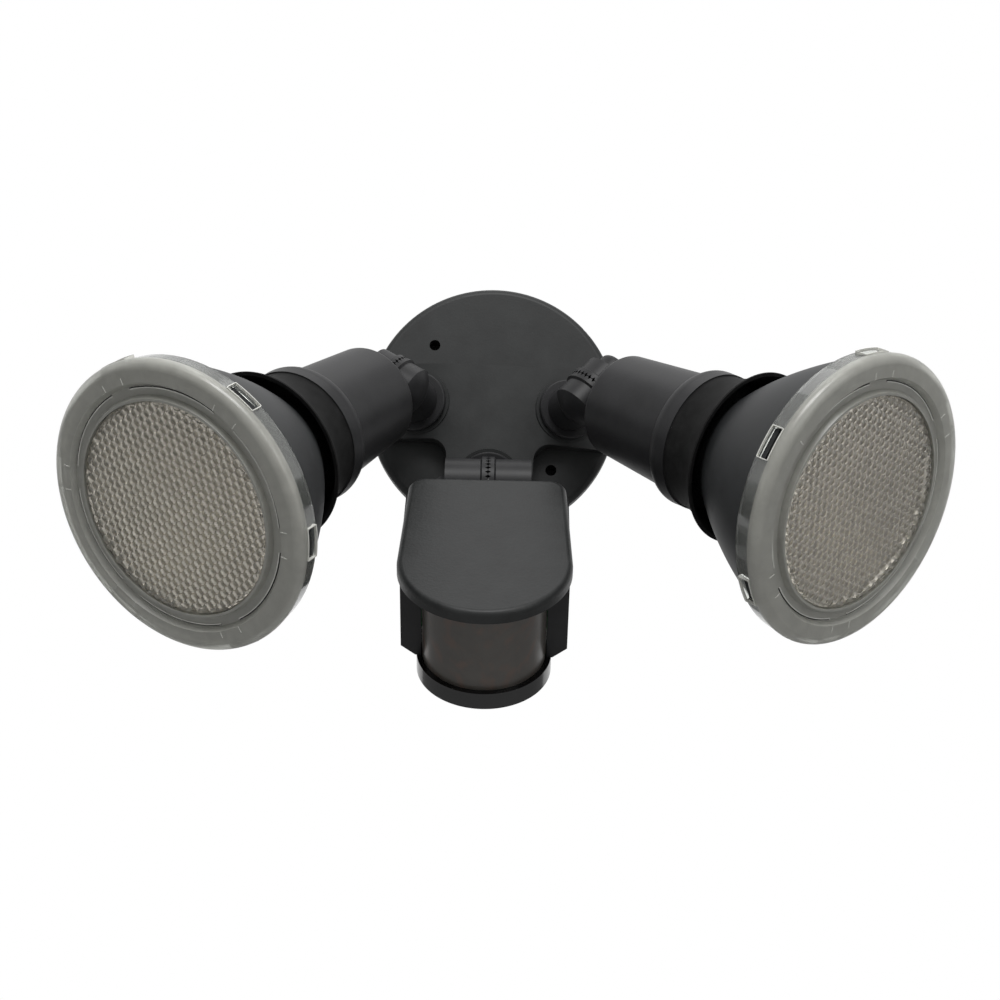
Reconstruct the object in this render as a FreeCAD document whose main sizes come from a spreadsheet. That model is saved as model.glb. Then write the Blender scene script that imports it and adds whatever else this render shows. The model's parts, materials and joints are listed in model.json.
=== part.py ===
import FreeCAD, Part
import math
import os
import types

import Sketcher

# Motion sensor security light: a round wall base carries two lamp arms and a motion sensor head.
# Each arm is a swivel that pans on the base, a serrated knuckle that tilts, a lamp holder with its
# rubber gasket, and a PAR38 lamp. All lengths are millimetres and all angles are degrees.
#
# World frame: the wall is the plane y = 0, the light stands out towards -Y, +Z is up and the
# origin is the centre of the base's back face. Pieces are drawn in four frames:
#   wall frame    x right, y up, z out of the wall
#   arm frame     origin where a knuckle's axis meets its swivel axis, z along the swivel axis away
#                 from the wall, x along the knuckle
#   lamp frame    the same origin and x, z along the lamp
#   sensor frame  the same origin as the sensor's knuckle, x right, z out of the lid, y to the rear

OUTPUT_FOLDER = "parts"

DIMENSIONS = {
    # Wall base
    "base_radius": 58.7,
    "base_depth": 11.0,
    "base_edge_round": 3.0,
    "base_wall": 2.5,
    "band_top": 17.4,
    "band_bottom": 18.8,
    "boss_height": 24.0,
    "boss_face_radius": 135.0,
    "boss_rim_inset": 0.8,
    "lobe_half_width": 20.3,
    "lobe_drop": 34.0,
    "lobe_fillet": 8.0,
    "hub_radius": 15.5,
    "hub_thickness": 4.2,
    "hub_rise": 0.25,
    "gasket_thickness": 2.0,
    "gasket_inset": 0.5,
    "plate_thickness": 2.0,
    "plate_clearance": 0.4,
    "fixing_circle": 82.0,
    "fixing_hole_radius": 2.6,
    "fixing_post_radius": 5.5,
    "plate_screw_radius": 1.5,
    "plate_screw_length": 6.5,
    "plate_screw_head_radius": 3.2,
    "plate_screw_head_height": 1.6,
    "cable_height": 24.0,
    "cable_bore_radius": 4.5,
    "grommet_neck_radius": 7.0,
    "grommet_rim_radius": 9.5,
    "grommet_rim_thickness": 1.2,
    "terminal_width": 33.0,
    "terminal_depth": 14.0,
    "terminal_height": 11.0,
    "terminal_pitch": 10.0,
    "terminal_screw_radius": 2.0,
    "terminal_screw_length": 4.0,
    "terminal_wire_radius": 1.8,
    # Places of the three swivels on the base
    "arm_spread": 70.8,
    "arm_height": -1.4,
    "arm_reach": 35.3,
    "sensor_seat_drop": 38.3,
    "sensor_seat_height": 21.4,
    "sensor_seat_slope": 15.0,
    "sensor_reach": 18.4,
    # Stored pose of the joints
    "right_pan": -41.3,
    "right_tilt": 38.8,
    "left_pan": -62.2,
    "left_tilt": 37.1,
    "sensor_pan": 1.8,
    "sensor_tilt": 44.8,
    "right_lamp_turn": -6.0,
    "left_lamp_turn": 14.0,
    # Swivel
    "flange_radius": 14.0,
    "flange_thickness": 2.4,
    "flange_bevel": 0.5,
    "seat_gap": 0.3,
    "neck_radius": 10.5,
    "stem_radius": 9.0,
    "stem_wall": 3.0,
    "stem_length": 11.0,
    "stem_clearance": 0.08,
    "stem_roof": 1.5,
    "swivel_nut_flats": 21.0,
    "swivel_nut_thickness": 5.0,
    "seal_radius": 11.5,
    "seal_thickness": 1.5,
    "seal_gap": 0.15,
    # Serrated knuckle
    "barrel_radius": 11.5,
    "barrel_length": 11.0,
    "sensor_barrel_length": 19.5,
    "collar_radius": 12.6,
    "collar_width": 2.6,
    "dome_height": 4.5,
    "tooth_gap": 0.3,
    "tooth_depth": 1.3,
    "tooth_width": 1.25,
    "tooth_inner_radius": 7.0,
    "tooth_count": 36,
    "knuckle_clearance": 0.7,
    "screw_radius": 3.0,
    "screw_clearance": 0.25,
    "screw_head_radius": 8.2,
    "screw_head_length": 7.0,
    "screw_head_round": 2.5,
    "sensor_screw_head_radius": 5.0,
    "sensor_screw_head_length": 4.0,
    "sensor_screw_socket_flats": 4.8,
    "captive_nut_flats": 10.0,
    "captive_nut_thickness": 5.0,
    # Lamp holder
    "holder_start": 18.5,
    "holder_wall": 2.3,
    "holder_corner": 3.0,
    "holder_back_radius": 23.0,
    "holder_front_radius": 26.3,
    "collar_start": 65.5,
    "collar_step": 2.6,
    "collar_length": 10.5,
    "collar_front_radius": 30.0,
    "collar_round": 3.0,
    "holder_neck_width": 20.0,
    "socket_radius": 18.5,
    "socket_length": 29.0,
    "socket_floor": 2.6,
    "socket_shell_radius": 14.2,
    "socket_shell_wall": 0.8,
    "socket_shell_length": 17.0,
    "contact_radius": 4.0,
    # Rubber gasket of the lamp holder
    "lip_radius": 37.0,
    "lip_reach": 98.4,
    "lip_thickness": 1.5,
    "ridge_height": 2.0,
    "ridge_clearance": 0.05,
    "lip_curve": 37.0,
    "gasket_plug_length": 5.5,
    "gasket_plug_wall": 1.6,
    "gasket_plug_clearance": 0.4,
    "lip_root_inset": 0.6,
    # PAR38 lamp
    "lamp_reach": 153.3,
    "lamp_radius": 60.5,
    "cover_side": 8.0,
    "cover_draft": 1.2,
    "cover_front": 3.7,
    "cover_round": 3.6,
    "cover_wall": 1.6,
    "cover_ring_width": 10.5,
    "recess_depth": 2.4,
    "lens_radius": 44.2,
    "lens_thickness": 2.2,
    "lens_clearance": 0.2,
    "lens_rim_width": 1.0,
    "ledge_width": 1.6,
    "window_width": 13.0,
    "window_height": 5.0,
    "window_count": 6,
    "bell_back": 94.5,
    "bell_waist": 58.8,
    "bell_waist_radius": 27.0,
    "bell_neck_radius": 17.0,
    "bell_bulge": 190.0,
    "bell_wall": 2.0,
    "rim_clearance": 0.4,
    "cap_radius": 13.1,
    "cap_length": 22.0,
    "cap_wall": 0.6,
    "neck_length": 7.0,
    "tip_radius": 4.5,
    "tip_height": 1.5,
    "insulator_height": 3.0,
    "reflector_throat_radius": 13.0,
    "reflector_depth": 38.0,
    "reflector_bulge": 90.0,
    "reflector_wall": 1.0,
    "board_radius": 31.0,
    "board_thickness": 1.6,
    "emitter_radius": 10.0,
    "emitter_height": 1.0,
    # Motion sensor head
    "lid_rear": 10.8,
    "lid_rear_half_width": 35.0,
    "lid_half_width": 37.0,
    "lid_front_centre": 73.7,
    "lid_top": 10.5,
    "lid_thickness": 5.8,
    "lid_corner": 8.0,
    "lid_edge_round": 2.5,
    "housing_half_width": 36.2,
    "housing_rear": 14.0,
    "housing_front": 69.7,
    "housing_bottom": 44.0,
    "housing_bevel_width": 6.3,
    "housing_bevel_height": 5.0,
    "housing_wall": 2.2,
    "housing_corner": 5.0,
    "window_centre": 66.3,
    "window_radius": 27.0,
    "window_wall": 1.3,
    "window_leg": 5.0,
    "window_fit": 0.3,
    "foot_radius": 29.5,
    "foot_height": 8.2,
    "foot_bevel": 1.5,
    "foot_wall": 2.5,
    "foot_rear": 16.5,
    "ear_half_width": 25.5,
    "ear_top": 4.5,
    "ear_bottom": 20.0,
    "ear_round": 8.0,
    "ear_rear": 1.0,
    "board_setback": 50.0,
    "sensor_board_thickness": 1.6,
    "detector_drop": 16.0,
    "detector_radius": 4.6,
    "detector_height": 4.2,
    "relay_width": 19.0,
    "relay_depth": 15.0,
    "relay_height": 15.0,
    "knob_radius": 5.5,
    "knob_height": 5.0,
    "knob_slot_width": 1.4,
    "knob_slot_depth": 1.5,
    "knob_shaft_radius": 2.0,
    "knob_clearance": 0.08,
    "knob_pitch": 16.0,
    "knob_setback": 54.0,
    "trimmer_width": 9.0,
    "trimmer_height": 4.0,
}

TEXT_OF_OPERATOR = {"+": "({} + {})", "-": "({} - {})", "*": "({} * {})", "/": "({} / {})"}
SKETCH_ORIGIN = -1
HORIZONTAL_AXIS = -1
VERTICAL_AXIS = -2
START_POINT = 1
END_POINT = 2
OVERSHOOT = 1.0


def number(value):
    """The plain number of a size or of a number."""
    return value.number if isinstance(value, Size) else float(value)


def words(value):
    """The expression text of a size or of a number."""
    return value.text if isinstance(value, Size) else repr(float(value))


class Size:
    """A size worked out from the sheet: the number, and the expression that gives it."""

    def __init__(self, value, text):
        self.number = float(value)
        self.text = text

    def __add__(self, other):
        return joined(self, "+", other, self.number + number(other))

    def __radd__(self, other):
        return joined(other, "+", self, number(other) + self.number)

    def __sub__(self, other):
        return joined(self, "-", other, self.number - number(other))

    def __rsub__(self, other):
        return joined(other, "-", self, number(other) - self.number)

    def __mul__(self, other):
        return joined(self, "*", other, self.number * number(other))

    def __rmul__(self, other):
        return joined(other, "*", self, number(other) * self.number)

    def __truediv__(self, other):
        return joined(self, "/", other, self.number / number(other))

    def __neg__(self):
        return 0 - self


def joined(left, operator, right, value):
    """A size made from two others."""
    return Size(value, TEXT_OF_OPERATOR[operator].format(words(left), words(right)))


def square_root(size):
    return Size(math.sqrt(number(size)), "sqrt({})".format(words(size)))


def make_sheet(document):
    """Write the driving dimensions into a sheet and return them as named sizes."""
    sheet = document.addObject("Spreadsheet::Sheet", "Sizes")
    sizes = {}
    for row, (alias, value) in enumerate(DIMENSIONS.items(), start=1):
        sheet.set("A%d" % row, alias)
        sheet.set("B%d" % row, str(value))
        sheet.setAlias("B%d" % row, alias)
        sizes[alias] = Size(value, "Sizes." + alias)
    document.recompute()
    return types.SimpleNamespace(**sizes)


DOC = FreeCAD.newDocument("SecurityLight")
D = make_sheet(DOC)
NODES = []


# ---------------------------------------------------------------- primitives and booleans

ALONG_X = FreeCAD.Rotation(FreeCAD.Vector(0, 1, 0), 90)
AGAINST_X = FreeCAD.Rotation(FreeCAD.Vector(0, 1, 0), -90)
ALONG_Y = FreeCAD.Rotation(FreeCAD.Vector(1, 0, 0), -90)
AGAINST_Y = FreeCAD.Rotation(FreeCAD.Vector(1, 0, 0), 90)
UPRIGHT = FreeCAD.Rotation()


def bind(thing, **values):
    """Give properties their numbers and tie them to the sheet."""
    for name, value in values.items():
        setattr(thing, name, number(value))
        if isinstance(value, Size):
            thing.setExpression(name, value.text)
    return thing


def put(thing, at=(0, 0, 0), turned=UPRIGHT):
    """Place an object; its coordinates stay tied to the sheet."""
    thing.Placement = FreeCAD.Placement(FreeCAD.Vector(*[number(value) for value in at]), turned)
    for name, value in zip("xyz", at):
        if isinstance(value, Size):
            thing.setExpression(".Placement.Base." + name, value.text)
    return thing


def cylinder(name, radius, length, at=(0, 0, 0), turned=UPRIGHT):
    solid = DOC.addObject("Part::Cylinder", name)
    bind(solid, Radius=radius, Height=length)
    return put(solid, at, turned)


def box(name, x, y, z):
    """A box from three (low, high) pairs."""
    solid = DOC.addObject("Part::Box", name)
    bind(solid, Length=x[1] - x[0], Width=y[1] - y[0], Height=z[1] - z[0])
    return put(solid, (x[0], y[0], z[0]))


def hexagon(name, across_flats, length, at=(0, 0, 0), turned=UPRIGHT):
    solid = DOC.addObject("Part::Prism", name)
    solid.Polygon = 6
    bind(solid, Circumradius=across_flats / math.sqrt(3), Height=length)
    return put(solid, at, turned)


def ring(name, radius, thickness, height):
    """A round ring of round section whose centre lies at the given height."""
    solid = DOC.addObject("Part::Torus", name)
    bind(solid, Radius1=radius, Radius2=thickness / 2)
    return put(solid, (0, 0, height))


def dome_radius(radius, height):
    """Radius of the sphere whose cap has a rim radius and a height."""
    return (radius * radius + height * height) / (2 * height)


def carried(name, shape, placement=FreeCAD.Placement()):
    """Carry a drawn shape into an object of its own, so that it can be placed again."""
    result = DOC.addObject("Part::Compound", name)
    result.Links = [shape]
    result.Placement = placement
    return result


def fused(name, *shapes):
    result = DOC.addObject("Part::MultiFuse", name)
    result.Shapes = list(shapes)
    return result


def shared(name, *shapes):
    result = DOC.addObject("Part::MultiCommon", name)
    result.Shapes = list(shapes)
    return result


def cut(name, base, *tools):
    result = DOC.addObject("Part::Cut", name)
    result.Base = base
    result.Tool = tools[0] if len(tools) == 1 else fused(name + "_tools", *tools)
    return result


# ---------------------------------------------------------------- sketches and bodies


def sketch_in(body, name, role, offset=0):
    """A sketch on one of the body's own origin planes, moved along the plane's normal."""
    sketch = body.newObject("Sketcher::SketchObject", name)
    plane = [item for item in body.Origin.OriginFeatures if item.Role == role][0]
    sketch.AttachmentSupport = (plane, [""])
    sketch.MapMode = "FlatFace"
    sketch.AttachmentOffset = FreeCAD.Placement(FreeCAD.Vector(0, 0, number(offset)), UPRIGHT)
    if isinstance(offset, Size):
        sketch.setExpression(".AttachmentOffset.Base.z", offset.text)
    return sketch


def arc_between(start, end, radius):
    """The shorter arc between two points; a positive radius has its centre on the left."""
    along = end - start
    left = FreeCAD.Vector(-along.y, along.x, 0).normalize()
    half = along.Length / 2
    sagitta_side = math.sqrt(max(radius * radius - half * half, 0.0))
    centre = start + along * 0.5 + left * (sagitta_side if radius > 0 else -sagitta_side)
    first, last = (start, end) if radius > 0 else (end, start)
    angles = [math.atan2(point.y - centre.y, point.x - centre.x) for point in (first, last)]
    circle = Part.Circle(centre, FreeCAD.Vector(0, 0, 1), abs(radius))
    return Part.ArcOfCircle(circle, angles[0], angles[1])


def hold_point(sketch, edge, point, x, y):
    """Tie a point's two coordinates to the sheet, or to an axis where they are zero."""
    for axis, kind, value in ((VERTICAL_AXIS, "DistanceX", x), (HORIZONTAL_AXIS, "DistanceY", y)):
        if number(value) == 0:
            sketch.addConstraint(Sketcher.Constraint("PointOnObject", edge, point, axis))
            continue
        held = Sketcher.Constraint(kind, SKETCH_ORIGIN, START_POINT, edge, point, number(value))
        index = sketch.addConstraint(held)
        if isinstance(value, Size):
            sketch.setExpression("Constraints[%d]" % index, value.text)


def draw_outline(sketch, corners):
    """Closed outline. A corner is (x, y), or (x, y, radius) where an arc leads to the next."""
    points = [FreeCAD.Vector(number(corner[0]), number(corner[1]), 0) for corner in corners]
    ends = []
    for index, corner in enumerate(corners):
        start, end = points[index], points[(index + 1) % len(points)]
        if len(corner) == 2:
            edge = sketch.addGeometry(Part.LineSegment(start, end), False)
            ends.append((edge, START_POINT, END_POINT))
            continue
        radius = number(corner[2])
        edge = sketch.addGeometry(arc_between(start, end, radius), False)
        first = (START_POINT, END_POINT) if radius > 0 else (END_POINT, START_POINT)
        ends.append((edge,) + first)
    for index, (edge, _, finish) in enumerate(ends):
        following, begin, _ = ends[(index + 1) % len(ends)]
        sketch.addConstraint(Sketcher.Constraint("Coincident", edge, finish, following, begin))
    for corner, (edge, begin, _) in zip(corners, ends):
        hold_point(sketch, edge, begin, corner[0], corner[1])
    for corner, (edge, _, _) in zip(corners, ends):
        if len(corner) == 3:
            size = corner[2] if number(corner[2]) > 0 else 0 - corner[2]
            index = sketch.addConstraint(Sketcher.Constraint("Radius", edge, number(size)))
            if isinstance(size, Size):
                sketch.setExpression("Constraints[%d]" % index, size.text)


def turned_body(name, corners):
    """A body of revolution about z from its (radius, height) outline."""
    body = DOC.addObject("PartDesign::Body", name)
    profile = sketch_in(body, name + "_profile", "XZ_Plane")
    draw_outline(profile, corners)
    turning = body.newObject("PartDesign::Revolution", name + "_turning")
    turning.Profile = profile
    turning.ReferenceAxis = (profile, ["V_Axis"])
    turning.Angle = 360
    body.Tip = turning
    return body


def padded_body(name, corners, bottom, top, plane="XY_Plane"):
    """A body padded from its outline, between two levels along the plane's normal."""
    body = DOC.addObject("PartDesign::Body", name)
    profile = sketch_in(body, name + "_profile", plane, bottom)
    draw_outline(profile, corners)
    pad = body.newObject("PartDesign::Pad", name + "_pad")
    pad.Profile = profile
    bind(pad, Length=top - bottom)
    body.Tip = pad
    return body


def round_edges_at(body, height, radius):
    """Round the edges that lie in the level plane at a height."""
    DOC.recompute()
    pad = body.Tip
    names = []
    for index, edge in enumerate(pad.Shape.Edges, start=1):
        limits = edge.BoundBox
        if abs(limits.ZMin - number(height)) < 1e-6 and abs(limits.ZMax - number(height)) < 1e-6:
            names.append("Edge%d" % index)
    fillet = body.newObject("PartDesign::Fillet", body.Name + "_round")
    fillet.Base = (pad, names)
    bind(fillet, Radius=radius)
    body.Tip = fillet


def serrate(body, face):
    """Cut the ring of radial V grooves into a knuckle's face, which lies at a height on z."""
    profile = sketch_in(body, body.Name + "_groove", "YZ_Plane")
    half = D.tooth_width / 2 * ((D.tooth_depth + OVERSHOOT) / D.tooth_depth)
    draw_outline(profile, [(-half, face - OVERSHOOT), (half, face - OVERSHOOT),
                           (0, face + D.tooth_depth)])
    groove = body.newObject("PartDesign::Pocket", body.Name + "_groove_cut")
    groove.Profile = profile
    groove.Reversed = True
    bind(groove, Length=D.collar_radius + OVERSHOOT)
    pattern = body.newObject("PartDesign::PolarPattern", body.Name + "_grooves")
    pattern.Originals = [groove]
    axis = [item for item in body.Origin.OriginFeatures if item.Role == "Z_Axis"][0]
    pattern.Axis = (axis, [""])
    pattern.Angle = 360
    pattern.Occurrences = int(D.tooth_count.number)
    pattern.setExpression("Occurrences", D.tooth_count.text)
    body.Tip = pattern
    DOC.recompute()


# ---------------------------------------------------------------- frames


def frame(origin, x_axis, z_axis):
    """A placement from an origin and two axes at right angles."""
    x_axis, z_axis = FreeCAD.Vector(x_axis).normalize(), FreeCAD.Vector(z_axis).normalize()
    rotation = FreeCAD.Rotation(x_axis, z_axis.cross(x_axis), z_axis, "ZXY")
    return FreeCAD.Placement(origin, rotation)


def sine(size):
    return math.sin(math.radians(number(size)))


def cosine(size):
    return math.cos(math.radians(number(size)))


WALL = FreeCAD.Placement(FreeCAD.Vector(0, 0, 0), AGAINST_Y)
FACE_CENTRE = D.boss_height - D.boss_face_radius
SIDE_SIGN = {"right": 1, "left": -1}
PAN = {"right": D.right_pan, "left": D.left_pan}
TILT = {"right": D.right_tilt, "left": D.left_tilt}
LAMP_TURN = {"right": D.right_lamp_turn, "left": D.left_lamp_turn}


def arm_seat(side):
    """In the wall frame: the centre of an arm's seat, and the seat's normal."""
    across = number(D.arm_spread) / 2
    radius = number(D.boss_face_radius)
    rise = math.sqrt(radius * radius - across * across)
    sign = SIDE_SIGN[side]
    centre = FreeCAD.Vector(sign * across, number(D.arm_height), number(FACE_CENTRE) + rise)
    return centre, FreeCAD.Vector(sign * across / radius, 0, rise / radius)


def sensor_seat():
    """In the wall frame: the centre of the sensor's seat, and the seat's normal."""
    centre = FreeCAD.Vector(0, -number(D.sensor_seat_drop), number(D.sensor_seat_height))
    return centre, FreeCAD.Vector(0, -sine(D.sensor_seat_slope), cosine(D.sensor_seat_slope))


def arm_frames(side):
    """World placements of an arm frame and of its lamp frame in the stored pose."""
    centre, normal = arm_seat(side)
    sign = SIDE_SIGN[side]
    outward = FreeCAD.Vector(sign * normal.z, 0, -sign * normal.x)
    up = FreeCAD.Vector(0, 1, 0)
    sideways = outward * cosine(PAN[side]) + up * sine(PAN[side])
    knuckle = normal.cross(sideways) * sign
    beam = normal * cosine(TILT[side]) + sideways * sine(TILT[side])
    origin = centre + normal * number(D.arm_reach)
    return WALL * frame(origin, knuckle, normal), WALL * frame(origin, knuckle, beam)


def sensor_frames():
    """World placements of the sensor's arm frame and of its head frame in the stored pose."""
    centre, normal = sensor_seat()
    origin = centre + normal * number(D.sensor_reach)
    turned = FreeCAD.Rotation(normal, number(D.sensor_pan))
    lid_normal = turned.multVec(FreeCAD.Vector(0, cosine(D.sensor_tilt), sine(D.sensor_tilt)))
    right = turned.multVec(FreeCAD.Vector(1, 0, 0))
    return WALL * frame(origin, right, normal), WALL * frame(origin, right, lid_normal)


def node(name, shape, placement):
    """Name a finished piece and set it in the world."""
    shape.Placement = placement
    shape.Label = name
    NODES.append(shape)
    return shape


# ---------------------------------------------------------------- wall base

INNER_RADIUS = D.base_radius - D.base_wall
PLATE_TOP = D.gasket_thickness + D.plate_thickness
FIXING = D.fixing_circle / 2 / math.sqrt(2)
SWIVEL_BORE = D.stem_radius + D.stem_clearance
FIXING_CORNERS = ((-1, 1), (1, -1))
PLATE_SCREW_CORNERS = ((1, 1), (-1, -1))


def boss_outline(inset):
    """The band across the base with the sensor's lobe below it, drawn in by an inset."""
    half = D.lobe_half_width - inset
    fillet = D.lobe_fillet + inset
    bottom = D.band_bottom - inset
    right = [(D.base_radius, D.band_top - inset), (D.base_radius, -bottom),
             (half + fillet, -bottom, fillet), (half, -bottom - fillet),
             (half, -D.lobe_drop, -half), (0, -D.lobe_drop - half, -half)]
    left = [(-half, -D.lobe_drop), (-half, -bottom - fillet, fillet),
            (-half - fillet, -bottom), (-D.base_radius, -bottom),
            (-D.base_radius, D.band_top - inset)]
    return right + left


def seat_frame(seat):
    """A wall-frame placement at a seat, z along its normal."""
    centre, normal = seat
    x_axis = FreeCAD.Vector(normal.z, 0, -normal.x)
    return frame(centre, x_axis, normal)


def boss(name, inset):
    """The boss as a solid, drawn in from every outer face by an inset."""
    block = padded_body(name + "_block", boss_outline(inset), D.gasket_thickness,
                        D.boss_height + OVERSHOOT)
    face = cylinder(name + "_face", D.boss_face_radius - D.hub_rise - inset, 4 * D.base_radius,
                    (0, -2 * D.base_radius, FACE_CENTRE), ALONG_Y)
    rim = cylinder(name + "_rim", D.base_radius - D.boss_rim_inset - inset, 2 * D.boss_height)
    above = box(name + "_above", (-D.base_radius, D.base_radius),
                (-D.base_radius, D.sensor_seat_drop), (-D.hub_rise - inset, D.boss_height))
    slope = carried(name + "_slope", above, seat_frame(sensor_seat()))
    return cut(name, shared(name + "_form", block, face, rim), slope)


def hub(name, seat):
    """The thick round seat that a swivel turns on, and the tool for its bore."""
    disc = cylinder(name + "_disc", D.hub_radius, D.hub_thickness, (0, 0, -D.hub_thickness))
    bore = cylinder(name + "_drill", SWIVEL_BORE, 2 * D.hub_thickness + 2 * OVERSHOOT,
                    (0, 0, -2 * D.hub_thickness - OVERSHOOT))
    place = seat_frame(seat)
    return carried(name, disc, place), carried(name + "_bore", bore, place)


def corner_cylinders(name, corners, radius, low, high):
    """Cylinders on the corners of the fixing square."""
    return [cylinder("%s_%d" % (name, index), radius, high - low,
                     (column * FIXING, row * FIXING, low))
            for index, (column, row) in enumerate(corners)]


def make_base_cover():
    disc = turned_body("base_disc", [
        (0, D.gasket_thickness), (D.base_radius, D.gasket_thickness),
        (D.base_radius, D.base_depth - D.base_edge_round, D.base_edge_round),
        (D.base_radius - D.base_edge_round, D.base_depth), (0, D.base_depth)])
    hollow = cylinder("base_hollow", INNER_RADIUS, D.base_depth - D.base_wall - D.gasket_thickness
                      + OVERSHOOT, (0, 0, D.gasket_thickness - OVERSHOOT))
    hubs, bores = [], []
    for side in SIDE_SIGN:
        disc_here, bore_here = hub(side + "_hub", arm_seat(side))
        hubs.append(disc_here)
        bores.append(bore_here)
    sensor_disc, sensor_bore = hub("sensor_hub", sensor_seat())
    posts = corner_cylinders("fixing_post", FIXING_CORNERS, D.fixing_post_radius,
                             PLATE_TOP, D.base_depth - D.base_wall / 2)
    posts += corner_cylinders("plate_post", PLATE_SCREW_CORNERS, D.fixing_post_radius,
                              PLATE_TOP, D.base_depth - D.base_wall / 2)
    holes = corner_cylinders("fixing_hole", FIXING_CORNERS, D.fixing_hole_radius,
                             0, D.boss_height)
    holes += corner_cylinders("plate_screw_hole", PLATE_SCREW_CORNERS, D.plate_screw_radius,
                              D.gasket_thickness, D.gasket_thickness + D.plate_screw_length)
    shell = cut("base_shell", fused("base_outer", disc, boss("boss", 0)),
                hollow, boss("boss_hollow", D.base_wall))
    whole = fused("base_whole", shell, *hubs, sensor_disc, *posts)
    node("base_cover", cut("base_cover", whole, sensor_bore, *bores, *holes), WALL)


def make_back_plate():
    disc = cylinder("plate_disc", INNER_RADIUS - D.plate_clearance, D.plate_thickness,
                    (0, 0, D.gasket_thickness))
    holes = corner_cylinders("plate_fixing_hole", FIXING_CORNERS, D.fixing_hole_radius,
                             0, PLATE_TOP + OVERSHOOT)
    holes += corner_cylinders("plate_clear_hole", PLATE_SCREW_CORNERS, D.plate_screw_radius,
                              0, PLATE_TOP + OVERSHOOT)
    entry = cylinder("plate_entry", D.grommet_neck_radius, PLATE_TOP + OVERSHOOT,
                     (0, D.cable_height, 0))
    node("back_plate", cut("back_plate", disc, entry, *holes), WALL)


def make_wall_gasket():
    disc = cylinder("gasket_disc", D.base_radius - D.gasket_inset, D.gasket_thickness)
    low, high = -OVERSHOOT, PLATE_TOP
    holes = corner_cylinders("gasket_fixing_hole", FIXING_CORNERS, D.fixing_hole_radius, low, high)
    holes += corner_cylinders("gasket_head_hole", PLATE_SCREW_CORNERS,
                              D.plate_screw_head_radius + D.seat_gap, low, high)
    entry = cylinder("gasket_entry", D.grommet_rim_radius + D.seat_gap, high - low,
                     (0, D.cable_height, low))
    node("wall_gasket", cut("wall_gasket", disc, entry, *holes), WALL)


def make_cable_grommet():
    low = D.gasket_thickness - D.grommet_rim_thickness
    high = PLATE_TOP + D.grommet_rim_thickness
    grommet = turned_body("cable_grommet", [
        (D.cable_bore_radius, low), (D.grommet_rim_radius, low),
        (D.grommet_rim_radius, D.gasket_thickness), (D.grommet_neck_radius, D.gasket_thickness),
        (D.grommet_neck_radius, PLATE_TOP), (D.grommet_rim_radius, PLATE_TOP),
        (D.cable_bore_radius + D.grommet_rim_thickness, high), (D.cable_bore_radius, high)])
    place = FreeCAD.Placement(FreeCAD.Vector(0, number(D.cable_height), 0), UPRIGHT)
    node("cable_grommet", grommet, WALL * place)


def make_terminal_block():
    half_width, half_depth = D.terminal_width / 2, D.terminal_depth / 2
    top = PLATE_TOP + D.terminal_height
    block = box("terminal_form", (-half_width, half_width), (-half_depth, half_depth),
                (PLATE_TOP, top))
    holes, screws = [], []
    for column in (-1, 0, 1):
        x = column * D.terminal_pitch
        holes.append(cylinder("terminal_hole_%d" % column,
                              D.terminal_screw_radius + D.stem_clearance,
                              D.terminal_screw_length + OVERSHOOT, (x, 0, top - D.terminal_screw_length)))
        holes.append(cylinder("terminal_way_%d" % column, D.terminal_wire_radius,
                              D.terminal_depth + 2 * OVERSHOOT,
                              (x, -half_depth - OVERSHOOT, PLATE_TOP + D.terminal_height / 3), ALONG_Y))
        screw = cylinder("terminal_screw_%d" % column, D.terminal_screw_radius,
                         D.terminal_screw_length, (x, 0, top - D.terminal_screw_length))
        slot = box("terminal_slot_%d" % column,
                   (x - D.terminal_screw_radius / 4, x + D.terminal_screw_radius / 4),
                   (-D.terminal_screw_radius - OVERSHOOT, D.terminal_screw_radius + OVERSHOOT),
                   (top - D.terminal_screw_radius / 2, top + OVERSHOOT))
        screws.append(cut("terminal_slotted_%d" % column, screw, slot))
    node("terminal_block", cut("terminal_block", block, *holes), WALL)
    node("terminal_screws", fused("terminal_screws", *screws), WALL)


def make_plate_screws():
    """The two screws that hold the back plate in the cover, heads towards the wall."""
    head_low = D.gasket_thickness - D.plate_screw_head_height
    shanks = corner_cylinders("plate_shank", PLATE_SCREW_CORNERS, D.plate_screw_radius,
                              D.gasket_thickness, D.gasket_thickness + D.plate_screw_length)
    heads = corner_cylinders("plate_head", PLATE_SCREW_CORNERS, D.plate_screw_head_radius,
                             head_low, D.gasket_thickness)
    node("back_plate_screws", fused("back_plate_screws", *shanks, *heads), WALL)


# ---------------------------------------------------------------- swivels and knuckles

HALF_GAP = D.tooth_gap / 2
NUT_SEAT = HALF_GAP + D.tooth_depth
NUT_POCKET_RADIUS = D.captive_nut_flats / math.sqrt(3) + D.screw_clearance
CLEAR_RADIUS = D.collar_radius + D.knuckle_clearance


def make_serrated_ring():
    """The toothed collar that every knuckle half carries, its face next to z = 0."""
    shoulder = HALF_GAP + D.collar_width
    ring_body = turned_body("serrated_ring", [
        (D.tooth_inner_radius, HALF_GAP), (D.collar_radius, HALF_GAP), (D.collar_radius, shoulder),
        (D.barrel_radius - OVERSHOOT / 2, shoulder + D.collar_radius - D.barrel_radius),
        (D.tooth_inner_radius, shoulder + D.collar_radius - D.barrel_radius)])
    serrate(ring_body, HALF_GAP)
    return ring_body


SERRATED_RING = make_serrated_ring()


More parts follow.
